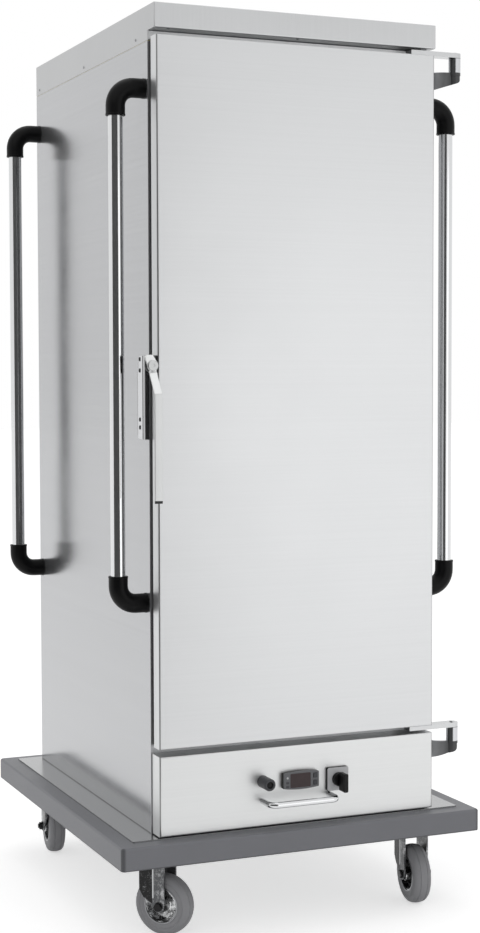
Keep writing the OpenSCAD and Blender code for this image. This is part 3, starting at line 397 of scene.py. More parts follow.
class Finish(Nodes):
    """A procedural material with a Principled shader, on Object coordinates."""

    def __init__(self, name, metallic=0.0, roughness=0.5, **constants):
        finishes[name] = bpy.data.materials.new(name)
        super().__init__(finishes[name])
        self.shader = self.node("ShaderNodeBsdfPrincipled", {},
                                {"Metallic": metallic, "Roughness": roughness})
        for socket, value in constants.items():
            self.shader.inputs[socket.replace("_", " ")].default_value = value
        self.output = self.node("ShaderNodeOutputMaterial", {}, {0: self.shader.outputs[0]})
        self.place = self.node("ShaderNodeTexCoord", {}, {}).outputs["Object"]

    def axes(self):
        """The three object coordinates in metres."""
        parts = self.node("ShaderNodeSeparateXYZ", {}, {0: self.place})
        return [Val(self, parts.outputs[i]) for i in range(3)]

    def noise(self, scale, stretch=(1, 1, 1), detail=3.0, rough=0.55, shift=(0, 0, 0)):
        """Noise about 0, from -0.5 to 0.5."""
        place = self.node("ShaderNodeMapping", {},
                          {"Vector": self.place, "Scale": stretch, "Location": shift}).outputs[0]
        return self.value("ShaderNodeTexNoise", {}, {"Vector": place, "Scale": scale, "Detail": detail,
                                                     "Roughness": rough}) - 0.5

    def specks(self, scale):
        """Distance to the nearest of many scattered points."""
        return self.value("ShaderNodeTexVoronoi", {}, {"Vector": self.place, "Scale": scale})

    def blend(self, factor, first, second):
        """Two colours mixed by a value."""
        return self.node("ShaderNodeMix", {"data_type": "RGBA"}, {0: factor, 6: first, 7: second}).outputs[2]

    def tone(self, colour, amount):
        """A colour made lighter where the value is over 0 and darker where it is under."""
        return self.blend((amount * 2.0 + 0.5).rise(0.0, 1.0), scaled(colour, 0.75), scaled(colour, 1.25))

    def set(self, **inputs):
        for key, value in inputs.items():
            self.plug(self.shader.inputs[key.replace("_", " ")], value)

    def bump(self, height, strength, distance):
        node = self.node("ShaderNodeBump", {}, {"Strength": strength, "Distance": distance, "Height": height})
        self.plug(self.shader.inputs["Normal"], node.outputs[0])


def tint(hexcode):
    """An sRGB hex colour as scene-linear numbers."""
    parts = [int(hexcode[i:i + 2], 16) / 255 for i in (0, 2, 4)]
    return tuple(c / 12.92 if c <= 0.04045 else ((c + 0.055) / 1.055) ** 2.4 for c in parts)


def scaled(colour, factor):
    """A colour made lighter or darker."""
    return tuple(min(1.0, part * factor) for part in colour)


# Noise stretched to a grain along one axis
GRAIN_X, GRAIN_Y, GRAIN_Z = (1, 90, 90), (90, 1, 90), (90, 90, 1)


def sheet_steel(name, colour, grain, roughness, contrast=0.05, fold_shade=None, seam=None, side=None):
    """Brushed stainless sheet: fine grain along one axis, long soft streaks and faint handling marks.

    Painted shade for upright front edges is given as (middle x, half width, front y) in metres: it darkens
    the sheet where it turns round that upright edge. A seam is a height in metres under which the sheet is in
    the shade of its joint. A side is the distance from the middle of the faces to the left and right, which
    carry painted shade that makes them a little darker than the rest.
    """
    f = Finish(name, metallic=0.85, roughness=roughness)
    x, y, z = f.axes()
    fine = f.noise(14.0, grain, detail=4.0, rough=0.7)
    long = f.noise(2.2, tuple(g if g > 1 else 0.35 for g in grain), detail=2.0)
    marks = f.noise(3.2, detail=4.0, rough=0.6, shift=(3.1, 1.7, 5.3))
    base = f.tone(colour, fine * contrast + long * (contrast * 0.7) + marks * 0.05)
    # Painted shade where the sheet turns round an upright front edge
    if fold_shade:
        at_side = 1 - ((x - fold_shade[0]).distance() - fold_shade[1]).distance().rise(0.0012, 0.0026)
        at_front = 1 - (y - fold_shade[2]).distance().rise(0.0016, 0.0034)
        base = f.blend(at_side * at_front * 0.8, base, scaled(colour, 0.16))
    if seam:
        base = f.blend((1 - z.rise(seam + 0.0012, seam + 0.0022)) * 0.85, base, scaled(colour, 0.12))
    # Painted shade on the faces to the left and right
    if side:
        base = f.blend(x.distance().rise(side - 0.0008, side - 0.0002), base, scaled(colour, 0.86))
    f.set(Base_Color=base, Roughness=fine * 0.16 + marks * 0.14 + roughness)
    f.bump(fine + long * 0.3, strength=0.06, distance=0.0003)


def bright_steel(name, colour, roughness, wear=0.5):
    """Polished or plated steel with hairlines and faint handling marks."""
    f = Finish(name, metallic=1.0, roughness=roughness)
    hair = f.noise(60.0, (1, 1, 12), detail=2.0)
    marks = f.noise(9.0, detail=5.0, rough=0.65)
    f.set(Base_Color=f.tone(colour, marks * 0.10 * wear + hair * 0.03),
          Roughness=marks.distance() * (0.22 * wear) + hair * 0.03 + roughness)
    f.bump(hair, strength=0.03, distance=0.0002)


def zinc_steel(name, colour, roughness):
    """Zinc plated pressed steel: a mottled spangle, darker in the hollows."""
    f = Finish(name, metallic=0.7, roughness=roughness)
    spangle = f.specks(140.0)
    cloud = f.noise(26.0, detail=5.0, rough=0.7)
    f.set(Base_Color=f.tone(colour, (spangle - 0.45) * 0.35 + cloud * 0.5),
          Roughness=spangle * 0.2 + cloud * 0.15 + roughness - 0.08)
    f.bump(cloud + spangle * 0.4, strength=0.15, distance=0.0003)


def spangled(name, dark, light, scale=90.0, share=0.5, roughness=0.3):
    """Old plated steel that shows bright flecks on dark patches."""
    f = Finish(name, metallic=0.85, roughness=roughness)
    cloud = f.noise(scale * 0.3, detail=6.0, rough=0.75)
    fleck = f.noise(scale * 2.2, detail=4.0, rough=0.8)
    shine = (cloud * 1.4 + fleck + 0.5).rise(share - 0.16, share + 0.2)
    f.set(Base_Color=f.blend(shine, dark, light), Roughness=fleck * 0.2 + roughness,
          Metallic=shine * 0.4 + 0.5)
    f.bump(fleck + cloud, strength=0.12, distance=0.0003)


def moulded(name, colour, roughness, grain=520.0, depth=0.12, scuff=0.5, sheen=0.5, dark_from=None):
    """Moulded plastic or rubber with a fine pebble and light scuffs.

    dark_from is a front plane in metres: the sides behind it are in the moulding's own shade.
    """
    f = Finish(name, roughness=roughness, Specular_IOR_Level=sheen)
    pebble = f.specks(grain)
    cloud = f.noise(11.0, detail=4.0, rough=0.6)
    scratch = f.noise(30.0, (1, 1, 6), detail=6.0, rough=0.7).rise(0.14, 0.3)
    base = f.tone(colour, cloud * 0.18 + scratch * 0.05 * scuff)
    if dark_from is not None:
        y = f.axes()[1]
        base = f.blend(y.rise(dark_from, dark_from + 0.001), base, (0.002, 0.002, 0.002))
    f.set(Base_Color=base, Roughness=pebble * 0.1 + cloud * 0.14 + scratch * 0.08 * scuff + roughness - 0.05)
    f.bump(pebble, strength=depth, distance=0.0002)


def bumper_plastic(name, colour, shade, low, high):
    """Grey bumper moulding: pebbled, with painted shade at its tight corners and along its foot, scuffed at
    mid height.

    The low and high are the bumper's outermost corners in metres.
    """
    f = Finish(name, roughness=0.42)
    x, y, z = f.axes()
    _, middle_y, middle_z = middle(low, high)
    half_y = (high[1] - low[1]) / 2
    # Painted shade at the tight upright corners and along the foot
    corner = (x.distance().rise(high[0] - 0.010, high[0] - 0.004) *
              (y - middle_y).distance().rise(half_y - 0.010, half_y - 0.004))
    foot = 1 - z.rise(low[2] + 0.0006, low[2] + 0.0036)
    pebble = f.specks(380.0)
    cloud = f.noise(7.0, detail=4.0)
    scratch = f.noise(16.0, (0.5, 0.5, 8), detail=6.0, rough=0.7).rise(0.12, 0.3)
    scuff = scratch * (1 - (z - middle_z).distance().rise(0.006, 0.016))
    base = f.tone(colour, cloud * 0.14 + scuff * 0.1)
    f.set(Base_Color=f.blend(corner.highest(foot) * 0.75, base, shade),
          Roughness=pebble * 0.1 + cloud * 0.12 + scuff * 0.12 + 0.38)
    f.bump(pebble, strength=0.1, distance=0.0002)


def insulation(name, colour):
    """Foam board with a fine open cell."""
    f = Finish(name, roughness=0.9)
    cell = f.specks(260.0)
    cloud = f.noise(12.0, detail=4.0)
    f.set(Base_Color=f.tone(colour, (cell - 0.4) * 0.4 + cloud * 0.3))
    f.bump(cell, strength=0.4, distance=0.0008)


def lever_finish(name, colour, foot, bend):
    """Brushed lever with a black plug in its lower end, and a painted highlight that makes it brighter where
    it is cranked.

    The foot is the height of its lower end and the bend that of the crank's foot, in metres.
    """
    f = Finish(name, metallic=0.9, roughness=0.3)
    z = f.axes()[2]
    plug = 1 - z.rise(foot + 0.0050, foot + 0.0054)
    grain = f.noise(40.0, (12, 12, 0.6), detail=3.0)
    marks = f.noise(14.0, detail=2.0)
    brushed = f.tone(colour, grain * 0.05 + marks * 0.03)
    # Painted highlight: a lighter copy of the steel above the crank's foot
    painted_crank_highlight = f.tone(scaled(colour, 1.2), grain * 0.04)
    steel = f.blend(z.rise(bend, bend + 0.0015), brushed, painted_crank_highlight)
    f.set(Base_Color=f.blend(plug, steel, (0.006, 0.006, 0.007)),
          Metallic=(1 - plug) * 0.8, Roughness=marks.distance() * 0.1 + grain * 0.04 + 0.34)
    f.bump(grain, strength=0.03, distance=0.0002)


def latch_finish(name, colour, rear, front):
    """Latch bracket sheet: a light screw strip between two lines of painted shade, with painted shade
    darkening it from there to the door.

    The rear and front are the bracket plate's edges along the side wall, in metres.
    """
    f = Finish(name, metallic=0.9, roughness=0.28)
    y = f.axes()[1]
    # Painted shade: dark lines at the rear edge and where the sheet turns, and darkening from there to the
    # door
    outline = y.rise(rear - 0.0024, rear - 0.0014)
    fold_shade = 1 - (y - (rear - 0.0415)).distance().rise(0.0022, 0.0036)
    shade_to_door = 1 - y.rise(front + 0.001, rear - 0.044)
    grain = f.noise(40.0, (12, 12, 0.6), detail=3.0)
    face = f.tone(colour, grain * 0.06)
    dark = scaled(colour, 0.05)
    f.set(Base_Color=f.blend(outline.highest(fold_shade).highest(shade_to_door * 0.93), face, dark),
          Roughness=grain.distance() * 0.15 + 0.28)
    f.bump(grain, strength=0.04, distance=0.0002)


def hinge_finish(name, colour, pin_x, pin_y, barrels):
    """Pressed hinge bracket with painted light: paler by the wall, with painted shade darkening it to its
    bend, and painted reflections on the barrels, dark with light strips down them.

    The barrels' axis is pin_x from the middle and at pin_y; barrels are their middle heights, in metres.
    """
    f = Finish(name, metallic=0.9, roughness=0.3)
    x, y, z = f.axes()
    out = x.distance()
    cloud = f.noise(60.0, detail=4.0)
    # Painted reflections on the barrels: dark, with a light strip on their outer and rear sides
    on_barrel = 1 - (z - barrels[0]).distance().lowest((z - barrels[1]).distance()).rise(0.0138, 0.0144)
    outside, behind = out.rise(pin_x - 0.0045, pin_x - 0.0035), y.rise(pin_y - 0.0040, pin_y - 0.0030)
    painted_barrel_highlight = outside.highest(behind) * on_barrel
    # Painted shade darkening the bracket towards its bend
    bend = out.rise(pin_x - 0.046, pin_x - 0.010)
    dark = scaled(colour, 0.22)
    bend_shaded = f.blend(bend, f.tone(colour, cloud * 0.2), dark)
    light = f.tone(scaled(colour, 1.9), cloud * 0.1)
    f.set(Base_Color=f.blend(painted_barrel_highlight, f.blend(on_barrel, bend_shaded, dark), light),
          Roughness=cloud.distance() * 0.2 + 0.34)
    f.bump(cloud, strength=0.05, distance=0.0002)


def display_glass(name, colour):
    """Dark tinted window of a controller."""
    f = Finish(name, roughness=0.12, Coat_Weight=0.15, Specular_IOR_Level=0.3)
    cloud = f.noise(40.0, detail=3.0)
    f.set(Base_Color=f.tone(colour, cloud * 0.25), Roughness=cloud * 0.1 + 0.14)


# ---------------------------------------------------------------- what a user would change
def rounding(name, what, default, lowest, highest):
    """A setting in metres for the rounding of some edges."""
    return FloatProperty(name=name, description="Rounding of " + what, default=default, min=lowest,
                         max=highest, unit="LENGTH", precision=4)


def colouring(name, what, hexcode):
    """A setting for the colour of something."""
    return FloatVectorProperty(name=name, description="Colour of " + what, default=tint(hexcode),
                               subtype="COLOR", min=0, max=1)


class TRAYCART_PG_sizes(PropertyGroup):
    door_edge: rounding("Door edge", "the door's and drawer's folded edges", 0.003, 0.001, 0.006)
    cap_edge: rounding("Cap edge", "the top cap's folds", 0.0022, 0.0005, 0.005)
    wall_fold: rounding("Wall fold", "the cabinet's rear corners", 0.003, 0.001, 0.006)
    bumper_corner: rounding("Bumper corner", "the bumper's corners seen from above", 0.008, 0.004, 0.02)
    bumper_edge: rounding("Bumper edge", "the bumper's long upper edges", 0.006, 0.002, 0.008)
    press_edge: rounding("Pressed edge", "the edges of brackets, arms and forks", 0.0009, 0.0002, 0.002)


class TRAYCART_PG_colours(PropertyGroup):
    # The door, drawer, walls and cap are one brushed stainless; their different tones are painted light and
    # shade, the side walls darker and the drawer front lighter than the door
    door: colouring("Door", "the door's brushed sheet", "D4D5D6")
    drawer: colouring("Drawer", "the drawer front's brushed sheet", "DADBDB")
    wall: colouring("Walls", "the side walls' sheet", "B4B5B7")
    cap: colouring("Cap", "the top cap's sheet", "C9CACB")
    bumper: colouring("Bumper", "the bumper", "797A7F")
    tyre: colouring("Tyres", "the tyres", "9A9A9D")
    elbow: colouring("Elbows", "the handles' elbows", "0B0B0C")
    bezel: colouring("Controller", "the controller's bezel", "6C6D70")


# ---------------------------------------------------------------- operators
class TRAYCART_OT_finishes(Operator):
    """Make the finishes and give them to the CAD nodes that keep their own shape"""
    bl_idname = "traycart.finishes"
    bl_label = "Finishes"

    def execute(self, context):
        c = context.scene.traycart_colours
        low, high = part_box("door_outer_skin")
        # Where painted shade darkens the door's and drawer's sheet round their upright front edges
        fold_shade = (middle(low, high)[0], (high[0] - low[0]) / 2, low[1])
        sheet_steel("door_sheet", c.door, GRAIN_X, 0.36, fold_shade=fold_shade)
        sheet_steel("drawer_sheet", c.drawer, GRAIN_X, 0.36, fold_shade=fold_shade)
        sheet_steel("wall_sheet", c.wall, GRAIN_Y, 0.19, contrast=0.09, seam=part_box("outer_shell")[0][2])
        # Painted shade on the top cap's left and right faces
        sheet_steel("cap_sheet", c.cap, GRAIN_Z, 0.33, side=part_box("top_cap")[1][0])
        sheet_steel("frame_sheet", tint("B4B5B7"), GRAIN_Z, 0.35)
        sheet_steel("liner_sheet", tint("C9CACB"), GRAIN_Z, 0.32)
        sheet_steel("deck_sheet_steel", tint("A7A8A9"), GRAIN_Y, 0.22)
        bright_steel("chrome", tint("D9DADB"), 0.09)
        bright_steel("rack_steel", tint("C8C9CA"), 0.2)
        bright_steel("pivot_steel", tint("BEBFBF"), 0.3)
        bright_steel("fork_rib_steel", tint("BEBFC0"), 0.3)
        bright_steel("hinge_steel", tint("C8C9CA"), 0.3, wear=0.6)
        bright_steel("screw_steel", tint("9A9B9D"), 0.3, wear=0.9)
        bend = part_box("latch_bolt")[0][2] - 0.043
        lever_finish("lever_steel_capped", tint("D4D5D5"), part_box("latch_lever")[0][2], bend)
        latch_finish("latch_plate_steel", tint("D2D3D5"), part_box("latch_bracket")[1][1],
                     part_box("front_frame")[0][1])
        hinge_finish("hinge_bracket_steel", tint("9C9D9F"), *hinge_pin_places())
        spangled("fork_zinc", tint("5A5B5D"), tint("B4B5B6"), scale=130.0, share=0.6)
        spangled("axle_zinc", tint("111112"), tint("77787A"), share=0.66)
        spangled("fork_lead_zinc", tint("161617"), tint("8A8B8C"), scale=150.0, share=0.7)
        spangled("rim_steel", tint("0E0E0F"), tint("E2E3E4"), scale=60.0, share=0.56, roughness=0.2)
        zinc_steel("frame_zinc", tint("8A8B8C"), 0.38)
        zinc_steel("heater_steel", tint("5A5653"), 0.5)
        zinc_steel("motor_casting", tint("56575B"), 0.45)
        bumper_plastic("bumper_plastic", c.bumper, tint("3A3B3E"), *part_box("bumper"))
        moulded("tyre_rubber", c.tyre, 0.6, depth=0.2, scuff=1.0, sheen=0.35)
        moulded("elbow_plastic", c.elbow, 0.4, grain=600.0, depth=0.05, sheen=0.13)
        moulded("black_plastic", tint("0E0E0F"), 0.38, depth=0.08, sheen=0.22)
        moulded("dark_screw", tint("0C0C0D"), 0.5, sheen=0.2)
        moulded("seal_rubber", tint("070708"), 0.75, grain=350.0, sheen=0.1)
        back_of_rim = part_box("drawer_front")[0][1] - 0.0095
        moulded("bezel_plastic", c.bezel, 0.42, depth=0.06, sheen=0.35, dark_from=back_of_rim)
        moulded("key_plastic", tint("4A4B4E"), 0.4, sheen=0.3)
        moulded("switch_plastic", tint("C6C7C9"), 0.34, grain=600.0, depth=0.05)
        moulded("lamp_lens", tint("C9CACB"), 0.2, grain=900.0, depth=0.03)
        display_glass("display_glass", tint("352526"))
        insulation("foam_board", tint("E4D9A8"))

        paint("frame_sheet", "front_frame")
        paint("liner_sheet", "inner_liner", "cavity_grille")
        paint("deck_sheet_steel", "deck_sheet", "drawer_box", "fan_impeller")
        paint("foam_board", "wall_insulation", "door_insulation")
        paint("rack_steel", "tray_rack_left", "tray_rack_right")
        paint("chrome", "drawer_pull", "hinge_pins")
        paint("frame_zinc", "chassis_frame", "drawer_runners", "caster_bolts")
        paint("heater_steel", "heating_element")
        paint("motor_casting", "fan_motor")
        return {"FINISHED"}


class TRAYCART_OT_door(Operator):
    """Build the door: folded outer pan, pressed inner panel and seal"""
    bl_idname = "traycart.door"
    bl_label = "Door"

    def execute(self, context):
        low, high = span("door_outer_skin")
        folded_pan("door_panel", "door_outer_skin", 2.2, "door_sheet", "door",
                   context.scene.traycart_sizes.door_edge / MM)

        x, _, z = middle(low, high)
        lip, margin = 1.4, 38.0
        lining = Piece("door_lining")
        lining.add(block((low[0] + lip, high[0] - lip), (high[1] - 2.4, high[1]),
                         (low[2] + lip, high[2] - lip), 0.5, 1))
        field = round_plate(high[0] - low[0] - 2 * margin, high[2] - low[2] - 2 * margin, 22, 4.0, 2.2, 3)
        lining.add(field, moved(x, high[1] - 0.6, z), turned(-90, "X"))
        lining.done("liner_sheet", "door", "brushed_sheet", ["door_inner_skin"])

        low, high = span("door_gasket")
        x, _, z = middle(low, high)
        ring = frame_ring(high[0] - low[0], high[2] - low[2], 14.0, high[1] - low[1], 3.0, 3)
        seal = Piece("door_seal").at_front(ring, x, high[1], z)
        seal.done("seal_rubber", "door", "gasket_black", ["door_gasket"])
        return {"FINISHED"}


class TRAYCART_OT_cabinet(Operator):
    """Build the cabinet's folded walls, top cap and rivets"""
    bl_idname = "traycart.cabinet"
    bl_label = "Cabinet"

    def execute(self, context):
        sizes = context.scene.traycart_sizes
        low, high = span("outer_shell")
        flange = 21.0
        outline = [(low[0], low[1]), (low[0], high[1]), (high[0], high[1]), (high[0], low[1]),
                   (high[0] - SHEET, low[1]), (high[0] - SHEET, high[1] - SHEET),
                   (low[0] + SHEET, high[1] - SHEET), (low[0] + SHEET, low[1])]
        walls = Piece("cabinet_walls")
        walls.add(cut_out(outline, high[2] - low[2], sizes.wall_fold / MM, 3,
                          where=lambda e: drop(e) > 50 and e.verts[0].co.y > high[1] - 0.1), moved(z=low[2]))
        # Folded flange on the deck, inside the walls
        foot = (low[2], low[2] + SHEET)
        for x in ((low[0] + SHEET, low[0] + flange), (high[0] - flange, high[0] - SHEET)):
            walls.add(block(x, (low[1], high[1] - SHEET), foot))
        walls.add(block((low[0] + flange, high[0] - flange), (high[1] - flange, high[1] - SHEET), foot))
        walls.done("wall_sheet", "cart", "brushed_sheet", ["outer_shell"])

        low, high = span("top_cap")
        front, fascia = span("front_frame")[0][1], foot_of_fascia()
        profile = [(low[1], fascia), (low[1], high[2]), (high[1], high[2]), (high[1], low[2]),
                   (front, low[2]), (front, fascia)]
        cap = Piece("top_cap_shell")
        cap.add(cut_out(profile, high[0] - low[0], sizes.cap_edge / MM, 3), moved(x=low[0]), FROM_THE_SIDE)
        cap.done("cap_sheet", "cart", "brushed_sheet", ["top_cap"])

        # Three rivets along each side of the cap and three under its fascia
        first, pitch, height = 65.0, 320.0, 1733.0
        apart, back = 268.0, 27.0
        rivets = Piece("cap_rivet_heads")
        for side in SIDES:
            for k in range(3):
                at = moved(side * wall_x(), front + first + pitch * k, height)
                rivets.add(screw_head(6.0, 1.2, 0.3), at, turned(side * 90, "Y"))
        for k in range(-1, 2):
            rivets.add(screw_head(7.0, 1.2, 0.35), moved(k * apart, front - back, fascia), turned(180, "X"))
        rivets.done("screw_steel", "cart", "zinc_steel", ["cap_rivets"])
        return {"FINISHED"}


class TRAYCART_OT_drawer(Operator):
    """Build the heating drawer's front"""
    bl_idname = "traycart.drawer"
    bl_label = "Drawer front"

    def execute(self, context):
        folded_pan("drawer_face", "drawer_front", 1.6, "drawer_sheet", "drawer",
                   context.scene.traycart_sizes.door_edge / MM)
        return {"FINISHED"}


class TRAYCART_OT_platform(Operator):
    """Build the bumper round the platform and its screws"""
    bl_idname = "traycart.platform"
    bl_label = "Platform"

    def execute(self, context):
        sizes = context.scene.traycart_sizes
        low, high = span("bumper")
        width, depth, height = (high[i] - low[i] for i in range(3))
        bar = high[0] - span("deck_sheet")[1][0]
        ring = frame_ring(width, depth, bar, height)
        corner = lambda v: abs(abs(v.co.x) - width / 2) < 0.1 and abs(abs(v.co.y) - depth / 2) < 0.1
        soften(ring, sizes.bumper_corner / MM, 7, where=lambda e: all(map(corner, e.verts)) and drop(e) > 1)
        inner = lambda v: abs(v.co.x) < width / 2 - bar + 0.5 and abs(v.co.y) < depth / 2 - bar + 0.5
        outer = lambda e: drop(e) < 0.01 and not any(map(inner, e.verts))
        soften(ring, sizes.bumper_edge / MM, 4, angle=60, where=lambda e: outer(e) and e.verts[0].co.z > 1)
        soften(ring, 1.2, 2, angle=60, where=lambda e: outer(e) and e.verts[0].co.z < 0.1)
        Piece("bumper_moulding").add(ring, moved(0, middle(low, high)[1], low[2])).done(
            "bumper_plastic", "cart", "bumper_grey", ["bumper"])

        low, high = span("bumper_screws")
        head_r, head = 4.5, 2.4
        screws = Piece("bumper_screw_heads")
        for side in SIDES:
            for y in (low[1] + head_r, high[1] - head_r):
                at = moved(side * (high[0] - head), y, middle(low, high)[2])
                screws.add(screw_head(2 * head_r, head), at, turned(side * 90, "Y"))
        screws.done("dark_screw", "cart", "zinc_steel", ["bumper_screws"])
        return {"FINISHED"}


class TRAYCART_OT_casters(Operator):
    """Build the four swivel casters: plates, races, forks, axles, rims and tyres"""
    bl_idname = "traycart.casters"
    bl_label = "Casters"

    def execute(self, context):
        press = context.scene.traycart_sizes.press_edge / MM
        top, low = span("bumper")[0][2], span("caster_plates")[0][2]
        mounts = Piece("caster_mounts")
        for corner in CORNERS:
            swivel = joint("swivel_" + corner)["pos_m"]
            at = moved(swivel[0] / MM, swivel[1] / MM)
            mounts.add(round_plate(85, 105, 6, 4, 0.8), at, moved(z=top - 4))
            race = lathe([(0, 0), (31.5, 0), (33, 1.2), (33, 3.4), (31, 5), (0, 5)])
            kingpin = lathe([(0, 0), (9.5, 0), (11, 1), (11, 5), (6, 5), (6, 28), (0, 28)], 32)
            mounts.add(race, at, moved(z=top - 9)).add(kingpin, at, moved(z=low))
        mounts.done("frame_zinc", "cart", "zinc_steel", ["caster_plates"])

        for corner in CORNERS:
            at = in_caster(corner)
            hub = at @ moved(0, -TRAIL, WHEEL_R)
            body, wheel = "swivel_" + corner, "wheel_" + corner
            rounded_node("fork_" + corner, "caster_fork_" + corner, "fork_zinc", body, "zinc_steel", press)

            # The pressed rib down each leg, rubbed bright, and the darker leading part before it
            rib, lead = Piece("fork_rib_" + corner), Piece("fork_lead_" + corner)
            for x in (-LEG_X, LEG_X):
                rib.add(block((x - 0.7, x + 0.7), (-31.5, -28.5), (76, 139), 0.5, 2), at)
                plate = cut_out([(-28, 64.5), (-28, 138), (0.4, 138), (0.4, 90.2), (-8.4, 76)], 0.7, 0.3, 1)
                lead.add(plate, at, moved(x=x - 0.35), FROM_THE_SIDE)
            rib.done("fork_rib_steel", body, "zinc_steel")
            lead.done("fork_lead_zinc", body, "zinc_steel")

            axle = Piece("axle_" + corner)
            for shape, x, way in ((disc(10, 65), -LEG_X - 2, 90), (hexagon(18, 6), -LEG_X, -90),
                                  (disc(20, 1.4, 0.4), LEG_X, 90), (hexagon(18, 6), LEG_X + 1.4, 90)):
                axle.add(shape, hub, moved(x=x), turned(way, "Y"))
            axle.done("axle_zinc", body, "bright_steel", ["caster_axle_" + corner])

            half = [(5.05, 22), (12.5, 22), (14, 20.5), (14, 5.5), (17, 4), (29, 4), (30.5, 7), (31.5, 16),
                    (36, 16)]
            rim = Piece("rim_" + corner).add(lathe(mirrored(half), 64), hub, turned(90, "Y"))
            rim.done("rim_steel", wheel, "rim_grey", ["wheel_rim_" + corner])
            ring = [(33.5, 14.5), (36.2, 14.5), (36.4, 17.2), (35.8, 17.9), (34.2, 17.9), (33.5, 17.2)]
            bead = Piece("rim_bead_" + corner)
            for side in SIDES:
                bead.add(lathe(ring, 64), hub, turned(90 * side, "Y"))
            bead.done("screw_steel", wheel, "rim_grey")

            half = [(36, 16.6), (40, 18), (44.2, 18), (45.4, 16.9), (46.6, 16.9), (47.8, 18), (49.5, 17.9),
                    (54, 16.4), (57.2, 13.4), (58.7, 9.4), (59.1, 8.4), (58.2, 7.8), (58.2, 6.8), (59.4, 6.2),
                    (59.85, 3)]
            shape = lathe(mirrored(half, [(WHEEL_R, 0)]), 96)
            tyre = Piece("tyre_" + corner).add(shape, hub, turned(90, "Y"))
            tyre.done("tyre_rubber", wheel, "tyre_grey", ["tyre_" + corner], smooth=50)
        return {"FINISHED"}


def mirrored(half, crown=()):
    """A wheel's whole profile from the half of it on one side and what lies on the middle."""
    return [(r, -h) for r, h in half] + list(crown) + list(reversed(half))


def elbow(out):
    """A handle elbow from the wall at the origin, out along X to its axis and down to its socket."""
    r, bend, socket = ELBOW_R, 35.0, 19.0
    bm = bmesh.new()
    ring = bmesh.ops.create_circle(bm, cap_ends=False, segments=40, radius=r)["verts"]
    bmesh.ops.rotate(bm, cent=(0, 0, 0), matrix=Matrix.Rotation(math.radians(90), 3, "Y"), verts=ring)
    edges = list(bm.edges)

    def pull(edges, vec=(0, 0, 0), scale=None, centre=None):
        grown = bmesh.ops.extrude_edge_only(bm, edges=edges)["geom"]
        verts = [g for g in grown if isinstance(g, bmesh.types.BMVert)]
        bmesh.ops.translate(bm, vec=vec, verts=verts)
        if scale:
            for v in verts:
                v.co = Vector(centre) + (v.co - Vector(centre)) * scale
        return [g for g in grown if isinstance(g, bmesh.types.BMEdge)]

    bm.faces.new(ring)
    edges = pull(edges, (out - bend, 0, 0))
    ends = list({v for e in edges for v in e.verts})
    last = bmesh.ops.spin(bm, geom=edges + ends, cent=(out - bend, 0, -bend), axis=(0, 1, 0), dvec=(0, 0, 0),
                          angle=math.radians(90), steps=12, use_merge=False)["geom_last"]
    edges = [g for g in last if isinstance(g, bmesh.types.BMEdge)]
    edges = pull(edges, (0, 0, -socket + 1.2))
    foot = (out, 0, -bend - socket + 1.2)
    edges = pull(edges, (0, 0, -1.2), 0.94, foot)
    foot = (out, 0, -bend - socket)
    edges = pull(edges, (0, 0, 0), 14.4 / (r * 0.94), foot)  # to the socket's bore
    pull(edges, (0, 0, 12))
    bmesh.ops.recalc_face_normals(bm, faces=bm.faces)
    return bm


class TRAYCART_OT_handles(Operator):
    """Build the tubes and elbows of the four push handles"""
    bl_idname = "traycart.handles"
    bl_label = "Push handles"

    def execute(self, context):
        low, high = span("handle_elbows")
        tube_low, tube_high = span("handle_tubes")
        axis = tube_high[0] - TUBE_R
        out = axis - wall_x()
        lip = [(18, 0), (18.5, 0), (19.0, 0.6), (19.0, 3.4), (18.5, 4.0), (18, 4.0)]
        collar = [(17, 0), (19.2, 0), (19.2, 2.2), (18.4, 3.2), (17, 3.2)]
        bore = TUBE_R - 1.5
        wall = [(bore, tube_low[2]), (TUBE_R, tube_low[2]), (TUBE_R, tube_high[2]), (bore, tube_high[2])]
        elbows, tubes = Piece("handle_elbow_set"), Piece("handle_tube_set")
        for side in SIDES:
            for y in (tube_low[1] + TUBE_R, tube_high[1] - TUBE_R):
                for level, up in ((high[2] - ELBOW_R, 1), (low[2] + ELBOW_R, -1)):
                    at = moved(side * wall_x(), y, level) @ turned(0 if side > 0 else 180)
                    flip = Matrix.Diagonal((1, 1, up, 1))
                    elbows.add(elbow(out), at, flip)
                    elbows.add(lathe(lip, 40), at, flip, moved(out, 0, -54))
                    elbows.add(lathe(collar, 40), at, flip, turned(90, "Y"))
                tubes.add(lathe(wall, 72), moved(side * axis, y))
        elbows.done("elbow_plastic", "cart", "black_plastic", ["handle_elbows"])
        tubes.done("chrome", "cart", "bright_steel", ["handle_tubes"])
        return {"FINISHED"}


def hinge_pin_places():
    """The hinge pins' distance from the middle, their place in Y and the barrels' heights, in metres."""
    low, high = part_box("hinge_pins")
    arms_low, arms_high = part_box("hinge_arms")
    half_barrel, gap = 0.014, 0.0008
    thick = arms_high[2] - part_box("door_outer_skin")[1][2]
    return ((low[0] + high[0]) / 2, (low[1] + high[1]) / 2,
            (arms_low[2] - gap - half_barrel, arms_high[2] - thick - gap - half_barrel))


class TRAYCART_OT_hinges(Operator):
    """Build the wrap-round hinges: wall brackets, door arms and their screws"""
    bl_idname = "traycart.hinges"
    bl_label = "Hinges"

    def execute(self, context):
        press = context.scene.traycart_sizes.press_edge / MM
        rounded_node("hinge_wall_brackets", "hinge_brackets", "hinge_bracket_steel", "cart", "bright_steel",
                     press)
        rounded_node("hinge_door_arms", "hinge_arms", "hinge_steel", "door", "bright_steel", press)
        rounded_node("door_arm_screws", "door_screws", "screw_steel", "door", "bright_steel", 0.5)
        rounded_node("wall_screw_heads", "body_screws", "dark_screw", "cart", "zinc_steel", 0.5)
        return {"FINISHED"}


